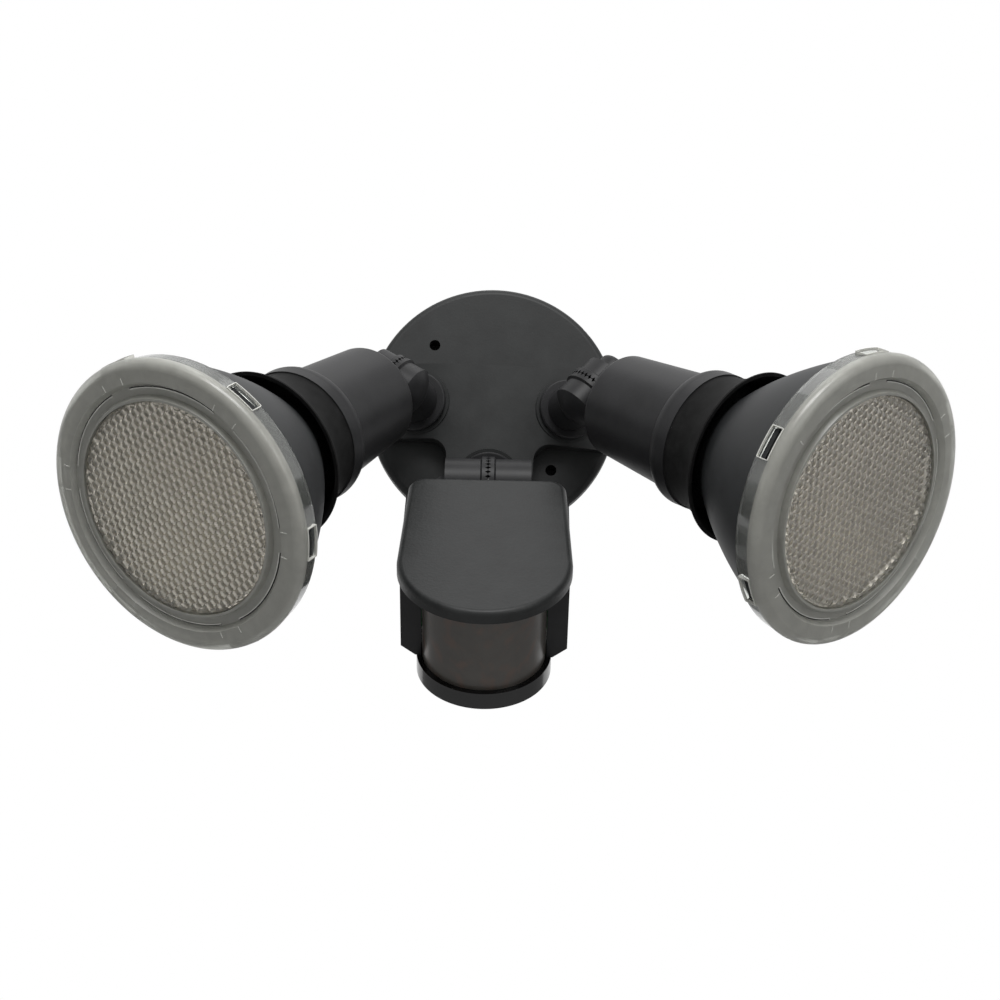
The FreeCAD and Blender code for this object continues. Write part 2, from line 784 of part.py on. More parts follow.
def knuckle_half(name, length, dome, turned):
    """Half a knuckle along x with its serrated face next to x = 0, and a domed or flat end."""
    end = [(D.barrel_radius, length, dome_radius(D.barrel_radius, D.dome_height)),
           (0, length + D.dome_height)]
    if not dome:
        end = [(D.barrel_radius, length), (0, length)]
    barrel = turned_body(name + "_barrel", [(0, NUT_SEAT), (D.barrel_radius, NUT_SEAT)] + end)
    collar = carried(name + "_collar", SERRATED_RING)
    return fused(name, put(barrel, turned=turned), put(collar, turned=turned))


def make_swivel(name, reach, length, dome, placement):
    """Flange, stem and neck on the base's seat, and the knuckle half that carries the nut."""
    seat = -reach
    low = seat + D.seat_gap
    top = low + D.flange_thickness
    groove_top = seat + D.seal_gap + D.seal_thickness
    groove_half = D.seal_thickness / 2
    bore_top = -CLEAR_RADIUS - D.stem_roof
    bore = D.stem_radius - D.stem_wall
    stem = turned_body(name + "_stem", [
        (bore, seat - D.stem_length), (D.stem_radius, seat - D.stem_length), (D.stem_radius, low),
        (D.seal_radius - groove_half, low), (D.seal_radius - groove_half, groove_top),
        (D.seal_radius + groove_half, groove_top), (D.seal_radius + groove_half, low),
        (D.flange_radius, low), (D.flange_radius, top - D.flange_bevel),
        (D.flange_radius - D.flange_bevel, top), (D.neck_radius, top), (D.neck_radius, 0),
        (0, 0), (0, bore_top), (bore, bore_top)])
    clearance = cylinder(name + "_clearance", CLEAR_RADIUS, 2 * D.flange_radius,
                         (-HALF_GAP, 0, 0), ALONG_X)
    half = knuckle_half(name + "_half", length, dome, AGAINST_X)
    pocket = cylinder(name + "_pocket", NUT_POCKET_RADIUS, D.captive_nut_thickness + NUT_SEAT,
                      turned=AGAINST_X)
    hole = cylinder(name + "_hole", D.screw_radius + D.screw_clearance, length - D.screw_radius,
                    turned=AGAINST_X)
    neck = cut(name + "_neck", stem, clearance)
    whole = fused(name + "_whole", neck, half)
    node(name, cut(name, whole, pocket, hole), placement)


def make_swivel_nut(name, reach, placement):
    low = -reach - D.hub_thickness - D.seat_gap - D.swivel_nut_thickness
    prism = hexagon(name + "_prism", D.swivel_nut_flats, D.swivel_nut_thickness, (0, 0, low))
    bore = cylinder(name + "_thread", D.stem_radius, D.swivel_nut_thickness + 2 * OVERSHOOT,
                    (0, 0, low - OVERSHOOT))
    node(name, cut(name, prism, bore), placement)


def make_swivel_seal(name, reach, placement):
    height = -reach + D.seal_gap + D.seal_thickness / 2
    node(name, carried(name, ring(name + "_ring", D.seal_radius, D.seal_thickness, height)),
         placement)


def make_captive_nut(name, placement):
    prism = hexagon(name + "_prism", D.captive_nut_flats, D.captive_nut_thickness,
                    (-NUT_SEAT, 0, 0), AGAINST_X)
    bore = cylinder(name + "_thread", D.screw_radius, D.captive_nut_thickness + 2 * OVERSHOOT,
                    (-NUT_SEAT + OVERSHOOT, 0, 0), AGAINST_X)
    node(name, cut(name, prism, bore), placement)


def make_arm_screw(name, placement):
    """The clamp screw of a lamp knuckle: a rounded cap outside the holder's half."""
    start = D.barrel_length + D.seat_gap
    end = start + D.screw_head_length
    inner_end = -(NUT_SEAT + D.captive_nut_thickness)
    screw = turned_body(name + "_form", [
        (0, inner_end), (D.screw_radius, inner_end), (D.screw_radius, start),
        (D.screw_head_radius, start),
        (D.screw_head_radius, end - D.screw_head_round, D.screw_head_round),
        (D.screw_head_radius - D.screw_head_round, end), (0, end)])
    put(screw, turned=ALONG_X)
    node(name, carried(name, screw), placement)


def make_sensor_screw(name, placement):
    """The clamp screw of the sensor's knuckle, its head sunk in the barrel's end."""
    end = D.sensor_barrel_length - D.seat_gap
    start = end - D.sensor_screw_head_length
    inner_end = -(NUT_SEAT + D.captive_nut_thickness)
    screw = turned_body(name + "_form", [
        (0, inner_end), (D.screw_radius, inner_end), (D.screw_radius, start),
        (D.sensor_screw_head_radius, start), (D.sensor_screw_head_radius, end), (0, end)])
    put(screw, turned=ALONG_X)
    socket = hexagon(name + "_socket", D.sensor_screw_socket_flats, D.sensor_screw_head_length,
                     (end - D.sensor_screw_head_length / 2, 0, 0), ALONG_X)
    node(name, cut(name, screw, socket), placement)


# ---------------------------------------------------------------- lamp holder

COLLAR_END = D.collar_start + D.collar_length
PLUG_RADIUS = D.collar_front_radius - D.holder_wall - D.gasket_plug_clearance
SOCKET_START = D.holder_start + D.holder_wall
CONTACT_TOP = SOCKET_START + D.socket_floor


def make_lamp_holder(side, placement):
    name = side + "_lamp_holder"
    collar_radius = D.holder_front_radius + D.collar_step
    back = D.holder_back_radius
    outer = [
        (0, D.holder_start), (back - D.holder_corner, D.holder_start, D.holder_corner),
        (back, D.holder_start + D.holder_corner), (D.holder_front_radius, D.collar_start),
        (collar_radius, D.collar_start + D.collar_round / 2, 2 * D.collar_round),
        (D.collar_front_radius, D.collar_start + 2 * D.collar_round),
        (D.collar_front_radius, COLLAR_END)]
    wall = D.holder_wall
    inner = [
        (D.collar_front_radius - wall, COLLAR_END),
        (D.collar_front_radius - wall, COLLAR_END - D.gasket_plug_length - wall),
        (D.holder_front_radius - wall, D.collar_start), (back - wall, D.holder_start + 2 * wall),
        (back - wall, SOCKET_START), (0, SOCKET_START)]
    shell = turned_body(name + "_shell", outer + inner)
    half = knuckle_half(name + "_half", D.barrel_length, False, ALONG_X)
    across = D.holder_neck_width / 2
    neck = box(name + "_neck", (HALF_GAP + D.collar_width, D.barrel_length), (-across, across),
               (0, SOCKET_START - wall / 2))
    hole = cylinder(name + "_hole", D.screw_radius + D.screw_clearance,
                    D.barrel_length + OVERSHOOT, turned=ALONG_X)
    node(name, cut(name, fused(name + "_whole", shell, half, neck), hole), placement)


def make_socket(side, placement):
    name = side + "_socket_body"
    end = SOCKET_START + D.socket_length
    body = turned_body(name, [
        (0, SOCKET_START), (D.socket_radius, SOCKET_START), (D.socket_radius, end),
        (D.socket_shell_radius, end), (D.socket_shell_radius, CONTACT_TOP), (0, CONTACT_TOP)])
    node(name, body, placement)
    shell_low = end - D.socket_shell_length - D.socket_shell_wall
    inner = D.socket_shell_radius - D.socket_shell_wall
    shell = turned_body(side + "_socket_shell", [
        (inner, shell_low), (D.socket_shell_radius, shell_low),
        (D.socket_shell_radius, shell_low + D.socket_shell_length),
        (inner, shell_low + D.socket_shell_length)])
    node(side + "_socket_shell", shell, placement)
    top = LAMP_TIP - D.stem_clearance
    contact = turned_body(side + "_socket_contact", [
        (0, CONTACT_TOP), (D.contact_radius, CONTACT_TOP),
        (D.contact_radius, CONTACT_TOP + D.socket_shell_wall),
        (D.contact_radius / 2, top), (0, top)])
    node(side + "_socket_contact", contact, placement)


def make_holder_gasket(side, placement):
    """The rubber cup: a plug in the holder's collar, a ridge round the lamp and a flared lip."""
    name = side + "_holder_gasket"
    lip_inner = D.lip_radius - D.lip_thickness
    root = COLLAR_END + D.lip_thickness
    outer_root = D.collar_front_radius - D.lip_root_inset
    inner_root = outer_root - D.lip_thickness
    plug_inner = PLUG_RADIUS - D.gasket_plug_wall
    plug_start = COLLAR_END - D.gasket_plug_length
    ridge = COLLAR_END + D.ridge_height
    gasket = turned_body(name, [
        (plug_inner, plug_start), (PLUG_RADIUS, plug_start), (PLUG_RADIUS, COLLAR_END),
        (outer_root, COLLAR_END), (outer_root, root, -D.lip_curve),
        (D.lip_radius, D.lip_reach - D.lip_thickness / 2), (D.lip_radius, D.lip_reach),
        (lip_inner, D.lip_reach, D.lip_curve), (inner_root, root + D.lip_thickness),
        (bell_radius_at(ridge) + D.ridge_clearance, ridge), (plug_inner, ridge - D.lip_thickness)])
    node(name, gasket, placement)


# ---------------------------------------------------------------- lamp

FRONT = D.lamp_reach
BELL_BACK = FRONT - D.bell_back
BELL_WAIST = FRONT - D.bell_waist
BELL_END = FRONT - D.cover_side + D.rim_clearance
CAP_START = BELL_BACK - D.neck_length - D.cap_length
LAMP_TIP = CAP_START - D.insulator_height - D.tip_height
RIM_RADIUS = D.lamp_radius - D.cover_draft - D.cover_wall - D.rim_clearance
RIM_TOP = FRONT - D.cover_wall - D.rim_clearance
FACE = FRONT + D.cover_front
RECESS = FACE - D.recess_depth
RING_INNER = D.lamp_radius - D.cover_ring_width


def bell_radius_at(height):
    """The radius of the bell's flare at a height between its neck and its waist."""
    flare = dome_radius(BELL_WAIST - BELL_BACK, D.bell_waist_radius - D.bell_neck_radius)
    rise = height - BELL_BACK
    return D.bell_neck_radius + flare - square_root(flare * flare - rise * rise)


def bell_side(inset):
    """One side of the bell from neck to rim, drawn in by an inset."""
    flare = dome_radius(BELL_WAIST - BELL_BACK, D.bell_waist_radius - D.bell_neck_radius)
    return [(D.bell_neck_radius - inset, BELL_BACK, -flare),
            (D.bell_waist_radius - inset, BELL_WAIST, D.bell_bulge),
            (RIM_RADIUS - inset, BELL_END)]


def reversed_side(corners):
    """The same side drawn the other way, its arcs turned to match."""
    back = []
    for index in range(len(corners) - 1, -1, -1):
        before = corners[index - 1] if index else ()
        arc = (-before[2],) if len(before) == 3 else ()
        back.append(tuple(corners[index][:2]) + arc)
    return back


def make_lamp_body(side, placement):
    name = side + "_lamp_body"
    neck_start = BELL_BACK - D.neck_length
    neck_radius = D.bell_neck_radius - D.cover_draft
    outer = [(neck_radius, neck_start)] + bell_side(0)
    rim = [(RIM_RADIUS, RIM_TOP), (RIM_RADIUS - D.bell_wall, RIM_TOP)]
    inner = reversed_side(bell_side(D.bell_wall))
    end = [(D.cap_radius - D.bell_wall, BELL_BACK - D.bell_wall),
           (D.cap_radius - D.bell_wall, neck_start)]
    body = turned_body(name + "_bell", outer + rim + inner + end)
    half = D.window_width / 2 - D.rim_clearance
    lugs = []
    for index in range(int(D.window_count.number)):
        lug = box("%s_lug_%d" % (name, index), (RIM_RADIUS - D.bell_wall / 2,
                  RIM_RADIUS + D.rim_clearance + D.cover_wall / 2), (-half, half),
                  (window_low() + D.rim_clearance, window_low() + D.window_height / 2))
        lugs.append(carried("%s_lug_set_%d" % (name, index), lug, spin(side, index)))
    node(name, fused(name, body, *lugs), placement)


def window_low():
    """The lower edge of the snap windows in the cover's side."""
    return FRONT - D.cover_side / 2 - D.window_height / 2


def spin(side, index):
    """The turn about z of a snap window, from where the lamp's thread stopped it."""
    angle = number(LAMP_TURN[side]) + 360.0 * index / int(D.window_count.number)
    return FreeCAD.Placement(FreeCAD.Vector(0, 0, 0), FreeCAD.Rotation(FreeCAD.Vector(0, 0, 1), angle))


def make_lamp_cap(side, placement):
    """The screw cap of the lamp and its centre contact on an insulator."""
    neck_start = BELL_BACK - D.neck_length
    inner = D.cap_radius - D.cap_wall
    cap = turned_body(side + "_lamp_cap", [
        (inner, CAP_START), (D.cap_radius, CAP_START), (D.cap_radius, neck_start),
        (inner, neck_start)])
    node(side + "_lamp_cap", cap, placement)
    contact = turned_body(side + "_lamp_contact", [
        (0, LAMP_TIP), (D.tip_radius, LAMP_TIP), (D.tip_radius, LAMP_TIP + D.tip_height),
        (inner, CAP_START), (inner, CAP_START + D.insulator_height),
        (0, CAP_START + D.insulator_height)])
    node(side + "_lamp_contact", contact, placement)


def make_lamp_inside(side, placement):
    """The reflector and the board with its light-emitting disc."""
    base = FACE - D.lens_thickness - D.cover_wall - D.reflector_depth
    mouth = D.lens_radius - D.ledge_width
    throat = D.reflector_throat_radius
    wall = D.reflector_wall
    top = base + D.reflector_depth
    reflector = turned_body(side + "_reflector", [
        (throat + wall, base, D.reflector_bulge), (mouth + wall, top), (mouth, top, -D.reflector_bulge),
        (throat, base)])
    node(side + "_reflector", reflector, placement)
    low = base - D.board_thickness
    board = turned_body(side + "_led_board", [
        (0, low), (D.board_radius, low), (D.board_radius, base), (D.emitter_radius, base),
        (D.emitter_radius, base + D.emitter_height), (0, base + D.emitter_height)])
    node(side + "_led_board", board, placement)


def make_lamp_cover(side, placement):
    """The clear cover: side wall with snap windows, rounded ring, recess and lens seat."""
    name = side + "_lamp_cover"
    outer = D.lamp_radius
    wall = D.cover_wall
    low = FRONT - D.cover_side
    seat = D.lens_radius + D.lens_clearance
    rim = D.lens_rim_width
    ledge_top = FACE - D.lens_thickness
    form = turned_body(name + "_form", [
        (outer - D.cover_draft, low), (outer, FRONT, D.cover_round),
        (outer - D.cover_round, FACE), (RING_INNER + wall, FACE), (RING_INNER, RECESS),
        (seat + 2 * rim, RECESS), (seat + rim, FACE), (seat, FACE), (seat, ledge_top),
        (seat - D.ledge_width, ledge_top), (seat - D.ledge_width, ledge_top - wall),
        (RING_INNER + wall, ledge_top - wall), (outer - D.cover_draft - wall, FRONT),
        (outer - D.cover_draft - wall, low)])
    windows = []
    half = D.window_width / 2
    for index in range(int(D.window_count.number)):
        window = box("%s_window_%d" % (name, index), (RIM_RADIUS, D.lamp_radius + OVERSHOOT),
                     (-half, half), (window_low(), window_low() + D.window_height))
        windows.append(carried("%s_window_set_%d" % (name, index), window, spin(side, index)))
    node(name, cut(name, form, *windows), placement)


def make_lamp_lens(side, placement):
    lens = turned_body(side + "_lamp_lens", [
        (0, FACE - D.lens_thickness), (D.lens_radius, FACE - D.lens_thickness),
        (D.lens_radius, FACE), (0, FACE)])
    node(side + "_lamp_lens", lens, placement)


def make_arm(side):
    """One arm with its lamp, in the stored pose."""
    arm, lamp = arm_frames(side)
    make_swivel(side + "_swivel", D.arm_reach, D.barrel_length, True, arm)
    make_swivel_nut(side + "_swivel_nut", D.arm_reach, arm)
    make_swivel_seal(side + "_swivel_seal", D.arm_reach, arm)
    make_arm_screw(side + "_clamp_screw", arm)
    make_captive_nut(side + "_clamp_nut", arm)
    make_lamp_holder(side, lamp)
    make_socket(side, lamp)
    make_holder_gasket(side, lamp)
    make_lamp_body(side, lamp)
    make_lamp_cap(side, lamp)
    make_lamp_inside(side, lamp)
    make_lamp_cover(side, lamp)
    make_lamp_lens(side, lamp)


# ---------------------------------------------------------------- motion sensor head

LID_BOTTOM = D.lid_top - D.lid_thickness
FOOT_TOP = -D.housing_bottom
FOOT_BOTTOM = FOOT_TOP - D.foot_height
BOARD_BACK = -D.board_setback + D.sensor_board_thickness


def lid_outline():
    """The lid seen from above: tapered sides, rounded rear corners, round front."""
    rear, rear_half = D.lid_rear, D.lid_rear_half_width
    half, corner = D.lid_half_width, D.lid_corner
    centre = -D.lid_front_centre
    return [(rear_half - corner, -rear), (-rear_half + corner, -rear, corner),
            (-rear_half, -rear - corner), (-half, centre, half), (0, centre - half, half),
            (half, centre), (rear_half, -rear - corner, corner)]


def make_sensor_lid(placement):
    """The flat lid, its lower rear edge hollowed where the knuckle turns below it."""
    form = padded_body("lid_form", lid_outline(), LID_BOTTOM, D.lid_top)
    round_edges_at(form, D.lid_top, D.lid_edge_round)
    room = cylinder("lid_room", CLEAR_RADIUS, 2 * D.sensor_barrel_length,
                    (-D.sensor_barrel_length - D.seat_gap, 0, 0), ALONG_X)
    node("sensor_lid", cut("sensor_lid", form, room), placement)


def make_sensor_housing(placement):
    """Rear housing with flat cheeks, open at the top, front and bottom, and its knuckle half."""
    half, rear, front = D.housing_half_width, -D.housing_rear, -D.housing_front
    corner, wall = D.housing_corner, D.housing_wall
    across = padded_body("housing_across", [
        (half, LID_BOTTOM), (-half, LID_BOTTOM),
        (-half, FOOT_TOP + D.housing_bevel_height), (-half + D.housing_bevel_width, FOOT_TOP),
        (half - D.housing_bevel_width, FOOT_TOP), (half, FOOT_TOP + D.housing_bevel_height)],
        D.housing_rear, D.housing_front, "XZ_Plane")
    above = padded_body("housing_above", [
        (half - corner, rear), (-half + corner, rear, corner), (-half, rear - corner),
        (-half, front), (half, front), (half, rear - corner, corner)], FOOT_TOP, LID_BOTTOM)
    inside = box("housing_inside", (-half + wall, half - wall), (front + wall, rear - wall),
                 (FOOT_TOP - OVERSHOOT, LID_BOTTOM + OVERSHOOT))
    opening = D.window_radius + D.window_fit
    mouth = box("housing_mouth", (-opening, opening), (front - OVERSHOOT, front + 2 * wall),
                (FOOT_TOP - OVERSHOOT, LID_BOTTOM + OVERSHOOT))
    case = cut("housing_case", shared("housing_form", across, above), inside, mouth)
    ear = D.ear_half_width
    ears = padded_body("housing_ears", [
        (ear - D.ear_round, D.ear_top), (-ear + D.ear_round, D.ear_top, D.ear_round),
        (-ear, D.ear_top - D.ear_round), (-ear, -D.ear_bottom), (ear, -D.ear_bottom),
        (ear, D.ear_top - D.ear_round, D.ear_round)], -D.ear_rear, D.housing_rear, "XZ_Plane")
    length = D.sensor_barrel_length
    room = cylinder("housing_room", CLEAR_RADIUS, length + HALF_GAP + D.seat_gap,
                    (HALF_GAP, 0, 0), AGAINST_X)
    neck_room = box("housing_neck_room", (-length - D.seat_gap, CLEAR_RADIUS),
                    (-CLEAR_RADIUS, D.ear_rear + OVERSHOOT), (-D.ear_bottom - OVERSHOOT, 0))
    half_barrel = knuckle_half("housing_half", length, False, ALONG_X)
    hole = cylinder("housing_hole", D.screw_radius + D.screw_clearance, length + OVERSHOOT,
                    turned=ALONG_X)
    head_room = cylinder("housing_head_room", D.sensor_screw_head_radius + D.screw_clearance,
                         D.sensor_screw_head_length + 2 * OVERSHOOT + ear - length,
                         (length - D.sensor_screw_head_length - 2 * D.seat_gap, 0, 0), ALONG_X)
    yoke = cut("housing_yoke", ears, room, neck_room)
    whole = fused("housing_whole", case, yoke, half_barrel)
    node("sensor_housing", cut("sensor_housing", whole, hole, head_room), placement)


def make_sensor_window(placement):
    """The half-round window, its two legs slid in behind the cheeks."""
    outer, inner = D.window_radius, D.window_radius - D.window_wall
    centre, leg = -D.window_centre, -D.window_centre + D.window_leg
    top, bottom = LID_BOTTOM - D.stem_clearance, FOOT_TOP + D.stem_clearance
    window = padded_body("sensor_window", [
        (outer, leg), (inner, leg), (inner, centre, -inner), (0, centre - inner, -inner),
        (-inner, centre), (-inner, leg), (-outer, leg), (-outer, centre, outer),
        (0, centre - outer, outer), (outer, centre)], bottom, top)
    node("sensor_window", window, placement)


def foot_outline(inset):
    radius, centre, rear = D.foot_radius - inset, -D.window_centre, -D.foot_rear - inset
    return [(radius, rear), (-radius, rear), (-radius, centre, radius),
            (0, centre - radius, radius), (radius, centre)]


def knob_places():
    return [column * D.knob_pitch for column in (-1, 0, 1)]


def make_sensor_foot(placement):
    """The round-fronted foot that closes the head from below and carries the three knobs."""
    form = padded_body("foot_form", foot_outline(0), FOOT_BOTTOM, FOOT_TOP)
    hollow = padded_body("foot_hollow", foot_outline(D.foot_wall + D.foot_bevel),
                         FOOT_BOTTOM + D.foot_wall, FOOT_TOP + OVERSHOOT)
    bores = [cylinder("foot_bore_%d" % index, D.knob_shaft_radius + D.knob_clearance,
                      D.foot_height, (x, -D.knob_setback, FOOT_BOTTOM - OVERSHOOT))
             for index, x in enumerate(knob_places())]
    node("sensor_foot", cut("sensor_foot", form, hollow, *bores), placement)


def make_sensor_inside(placement):
    """Circuit board with the pyroelectric detector, the relay and the three trimmers."""
    half = D.housing_half_width - D.housing_wall - D.window_fit
    low, high = FOOT_TOP + D.window_fit, LID_BOTTOM - D.window_fit
    board = box("sensor_board_form", (-half, half), (-D.board_setback, BOARD_BACK), (low, high))
    node("sensor_circuit_board", carried("sensor_circuit_board", board), placement)
    detector = cylinder("sensor_detector", D.detector_radius, D.detector_height)
    face = FreeCAD.Vector(0, -number(D.board_setback), -number(D.detector_drop))
    node("sensor_detector", detector, placement * FreeCAD.Placement(face, AGAINST_Y))
    relay = box("sensor_relay_form", (-D.relay_width / 2, D.relay_width / 2),
                (BOARD_BACK, BOARD_BACK + D.relay_depth),
                (-D.detector_drop - D.relay_height / 2, -D.detector_drop + D.relay_height / 2))
    node("sensor_relay", carried("sensor_relay", relay), placement)
    trimmers = []
    for index, x in enumerate(knob_places()):
        half_width = D.trimmer_width / 2
        low = FOOT_BOTTOM + D.foot_wall
        trimmer = box("trimmer_%d" % index, (x - half_width, x + half_width),
                      (-D.knob_setback - half_width, -D.knob_setback + half_width),
                      (low, low + D.trimmer_height))
        bore = cylinder("trimmer_bore_%d" % index, D.knob_shaft_radius + D.knob_clearance,
                        D.trimmer_height + 2 * OVERSHOOT, (x, -D.knob_setback, low - OVERSHOOT))
        trimmers.append(cut("trimmer_holed_%d" % index, trimmer, bore))
    node("sensor_trimmers", fused("sensor_trimmers", *trimmers), placement)


def make_sensor_knobs(placement):
    """Three knobs under the foot: light level, time and range."""
    top = FOOT_BOTTOM - D.seat_gap
    low = top - D.knob_height
    shaft_top = FOOT_BOTTOM + D.foot_wall + D.trimmer_height - D.seat_gap
    for name, x in zip(("light_level_knob", "time_knob", "range_knob"), knob_places()):
        form = turned_body(name + "_form", [
            (0, low), (D.knob_radius - D.flange_bevel, low), (D.knob_radius, low + D.flange_bevel),
            (D.knob_radius, top), (D.knob_shaft_radius, top), (D.knob_shaft_radius, shaft_top),
            (0, shaft_top)])
        slot = box(name + "_slot", (-D.knob_slot_width / 2, D.knob_slot_width / 2),
                   (-D.knob_radius - OVERSHOOT, D.knob_radius + OVERSHOOT),
                   (low - OVERSHOOT, low + D.knob_slot_depth))
        knob = cut(name, form, slot)
        place = FreeCAD.Placement(FreeCAD.Vector(number(x), -number(D.knob_setback), 0), UPRIGHT)
        node(name, knob, placement * place)


def make_sensor():
    arm, head = sensor_frames()
    make_swivel("sensor_swivel", D.sensor_reach, D.sensor_barrel_length, False, arm)
    make_swivel_nut("sensor_swivel_nut", D.sensor_reach, arm)
    make_swivel_seal("sensor_swivel_seal", D.sensor_reach, arm)
    make_sensor_screw("sensor_clamp_screw", arm)
    make_captive_nut("sensor_clamp_nut", arm)
    make_sensor_housing(head)
    make_sensor_lid(head)
    make_sensor_window(head)
    make_sensor_foot(head)
    make_sensor_inside(head)
    make_sensor_knobs(head)


# ---------------------------------------------------------------- checks and export


def check_document():
    """Stop if any object failed or any finished piece has no sound shape."""
    for item in DOC.Objects:
        if "Invalid" in item.State or "Error" in item.State:
            raise ValueError("%s failed: %s" % (item.Name, item.State))
    for item in NODES:
        if item.Shape.isNull() or not item.Shape.isValid() or not item.Shape.Solids:
            raise ValueError("%s has no sound shape" % item.Label)


def export_nodes():
    os.makedirs(OUTPUT_FOLDER, exist_ok=True)
    for item in NODES:
        item.Shape.exportStep(os.path.join(OUTPUT_FOLDER, item.Label + ".step"))


def main():
    make_base_cover()
    make_back_plate()
    make_wall_gasket()
    make_cable_grommet()
    make_terminal_block()
    make_plate_screws()
    for side in SIDE_SIGN:
        make_arm(side)
    make_sensor()
    DOC.recompute()
    check_document()
    export_nodes()


main()
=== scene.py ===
"""Dresses a motion sensor security light: finishes, the lamps' prismatic lenses, and the studio.

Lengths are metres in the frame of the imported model: the wall is the plane y = 0, the light stands
out towards -Y and +Z is up. Fields that end in _mm are millimetres.
"""

from __future__ import annotations

import enum
import json
import logging
import math
from dataclasses import dataclass
from typing import Any, Union

import bmesh
import bpy
from mathutils import Matrix, Vector


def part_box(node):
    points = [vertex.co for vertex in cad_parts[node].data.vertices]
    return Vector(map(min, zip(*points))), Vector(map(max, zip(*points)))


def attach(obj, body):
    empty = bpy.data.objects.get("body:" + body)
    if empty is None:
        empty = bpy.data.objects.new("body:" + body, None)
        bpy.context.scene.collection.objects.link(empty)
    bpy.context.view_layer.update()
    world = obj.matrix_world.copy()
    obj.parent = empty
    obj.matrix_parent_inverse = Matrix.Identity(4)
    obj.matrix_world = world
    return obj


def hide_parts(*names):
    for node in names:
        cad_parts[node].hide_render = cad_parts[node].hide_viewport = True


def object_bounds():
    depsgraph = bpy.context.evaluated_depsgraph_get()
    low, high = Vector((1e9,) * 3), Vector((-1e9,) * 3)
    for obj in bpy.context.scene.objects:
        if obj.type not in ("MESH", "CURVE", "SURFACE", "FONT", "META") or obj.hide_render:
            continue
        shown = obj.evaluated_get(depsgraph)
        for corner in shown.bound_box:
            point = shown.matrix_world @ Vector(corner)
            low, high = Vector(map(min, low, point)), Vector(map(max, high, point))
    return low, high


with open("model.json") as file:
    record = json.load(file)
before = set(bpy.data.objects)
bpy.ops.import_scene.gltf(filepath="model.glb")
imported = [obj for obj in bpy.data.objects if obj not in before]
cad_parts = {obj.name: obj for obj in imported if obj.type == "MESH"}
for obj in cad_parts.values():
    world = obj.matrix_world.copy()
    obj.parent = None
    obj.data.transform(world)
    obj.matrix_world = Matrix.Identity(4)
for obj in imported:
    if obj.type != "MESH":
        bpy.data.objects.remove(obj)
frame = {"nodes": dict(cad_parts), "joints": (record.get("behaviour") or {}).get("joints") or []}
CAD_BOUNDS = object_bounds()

LOG = logging.getLogger("security_light")
MM = 0.001
Colour = tuple[float, float, float]
Number = Union["Value", float, int]


# ------------------------------------------------------------------ shader expressions


class Value:
    """A number socket of a shader graph that can be used in Python arithmetic."""

    def __init__(self, graph: "Graph", socket: bpy.types.NodeSocket) -> None:
        """Wrap a socket.

        Args:
            graph: The graph that the socket belongs to.
            socket: The output socket that carries the number.
        """
        self.graph = graph
        self.socket = socket

    def _math(self, operation: str, first: Number, second: Number) -> "Value":
        """Add a Math node for two operands.

        Args:
            operation: The Math node's operation.
            first: Its first operand.
            second: Its second operand.

        Returns:
            The node's result.
        """
        made = self.graph.node("ShaderNodeMath", {"operation": operation}, {0: first, 1: second})
        return Value(self.graph, made.outputs[0])

    def __add__(self, other: Number) -> "Value":
        """Sum with another number."""
        return self._math("ADD", self, other)

    __radd__ = __add__

    def __mul__(self, other: Number) -> "Value":
        """Product with another number."""
        return self._math("MULTIPLY", self, other)

    __rmul__ = __mul__

    def __truediv__(self, other: Number) -> "Value":
        """Quotient by another number."""
        return self._math("DIVIDE", self, other)

    def between(self, low: float, high: float) -> "Value":
        """Ramp from 0 at one level to 1 at another, held outside them.

        Args:
            low: The level that gives 0.
            high: The level that gives 1.

        Returns:
            The held ramp.
        """
        made = self.graph.node("ShaderNodeMapRange", {"clamp": True},
                               {"Value": self, "From Min": low, "From Max": high})
        return Value(self.graph, made.outputs[0])


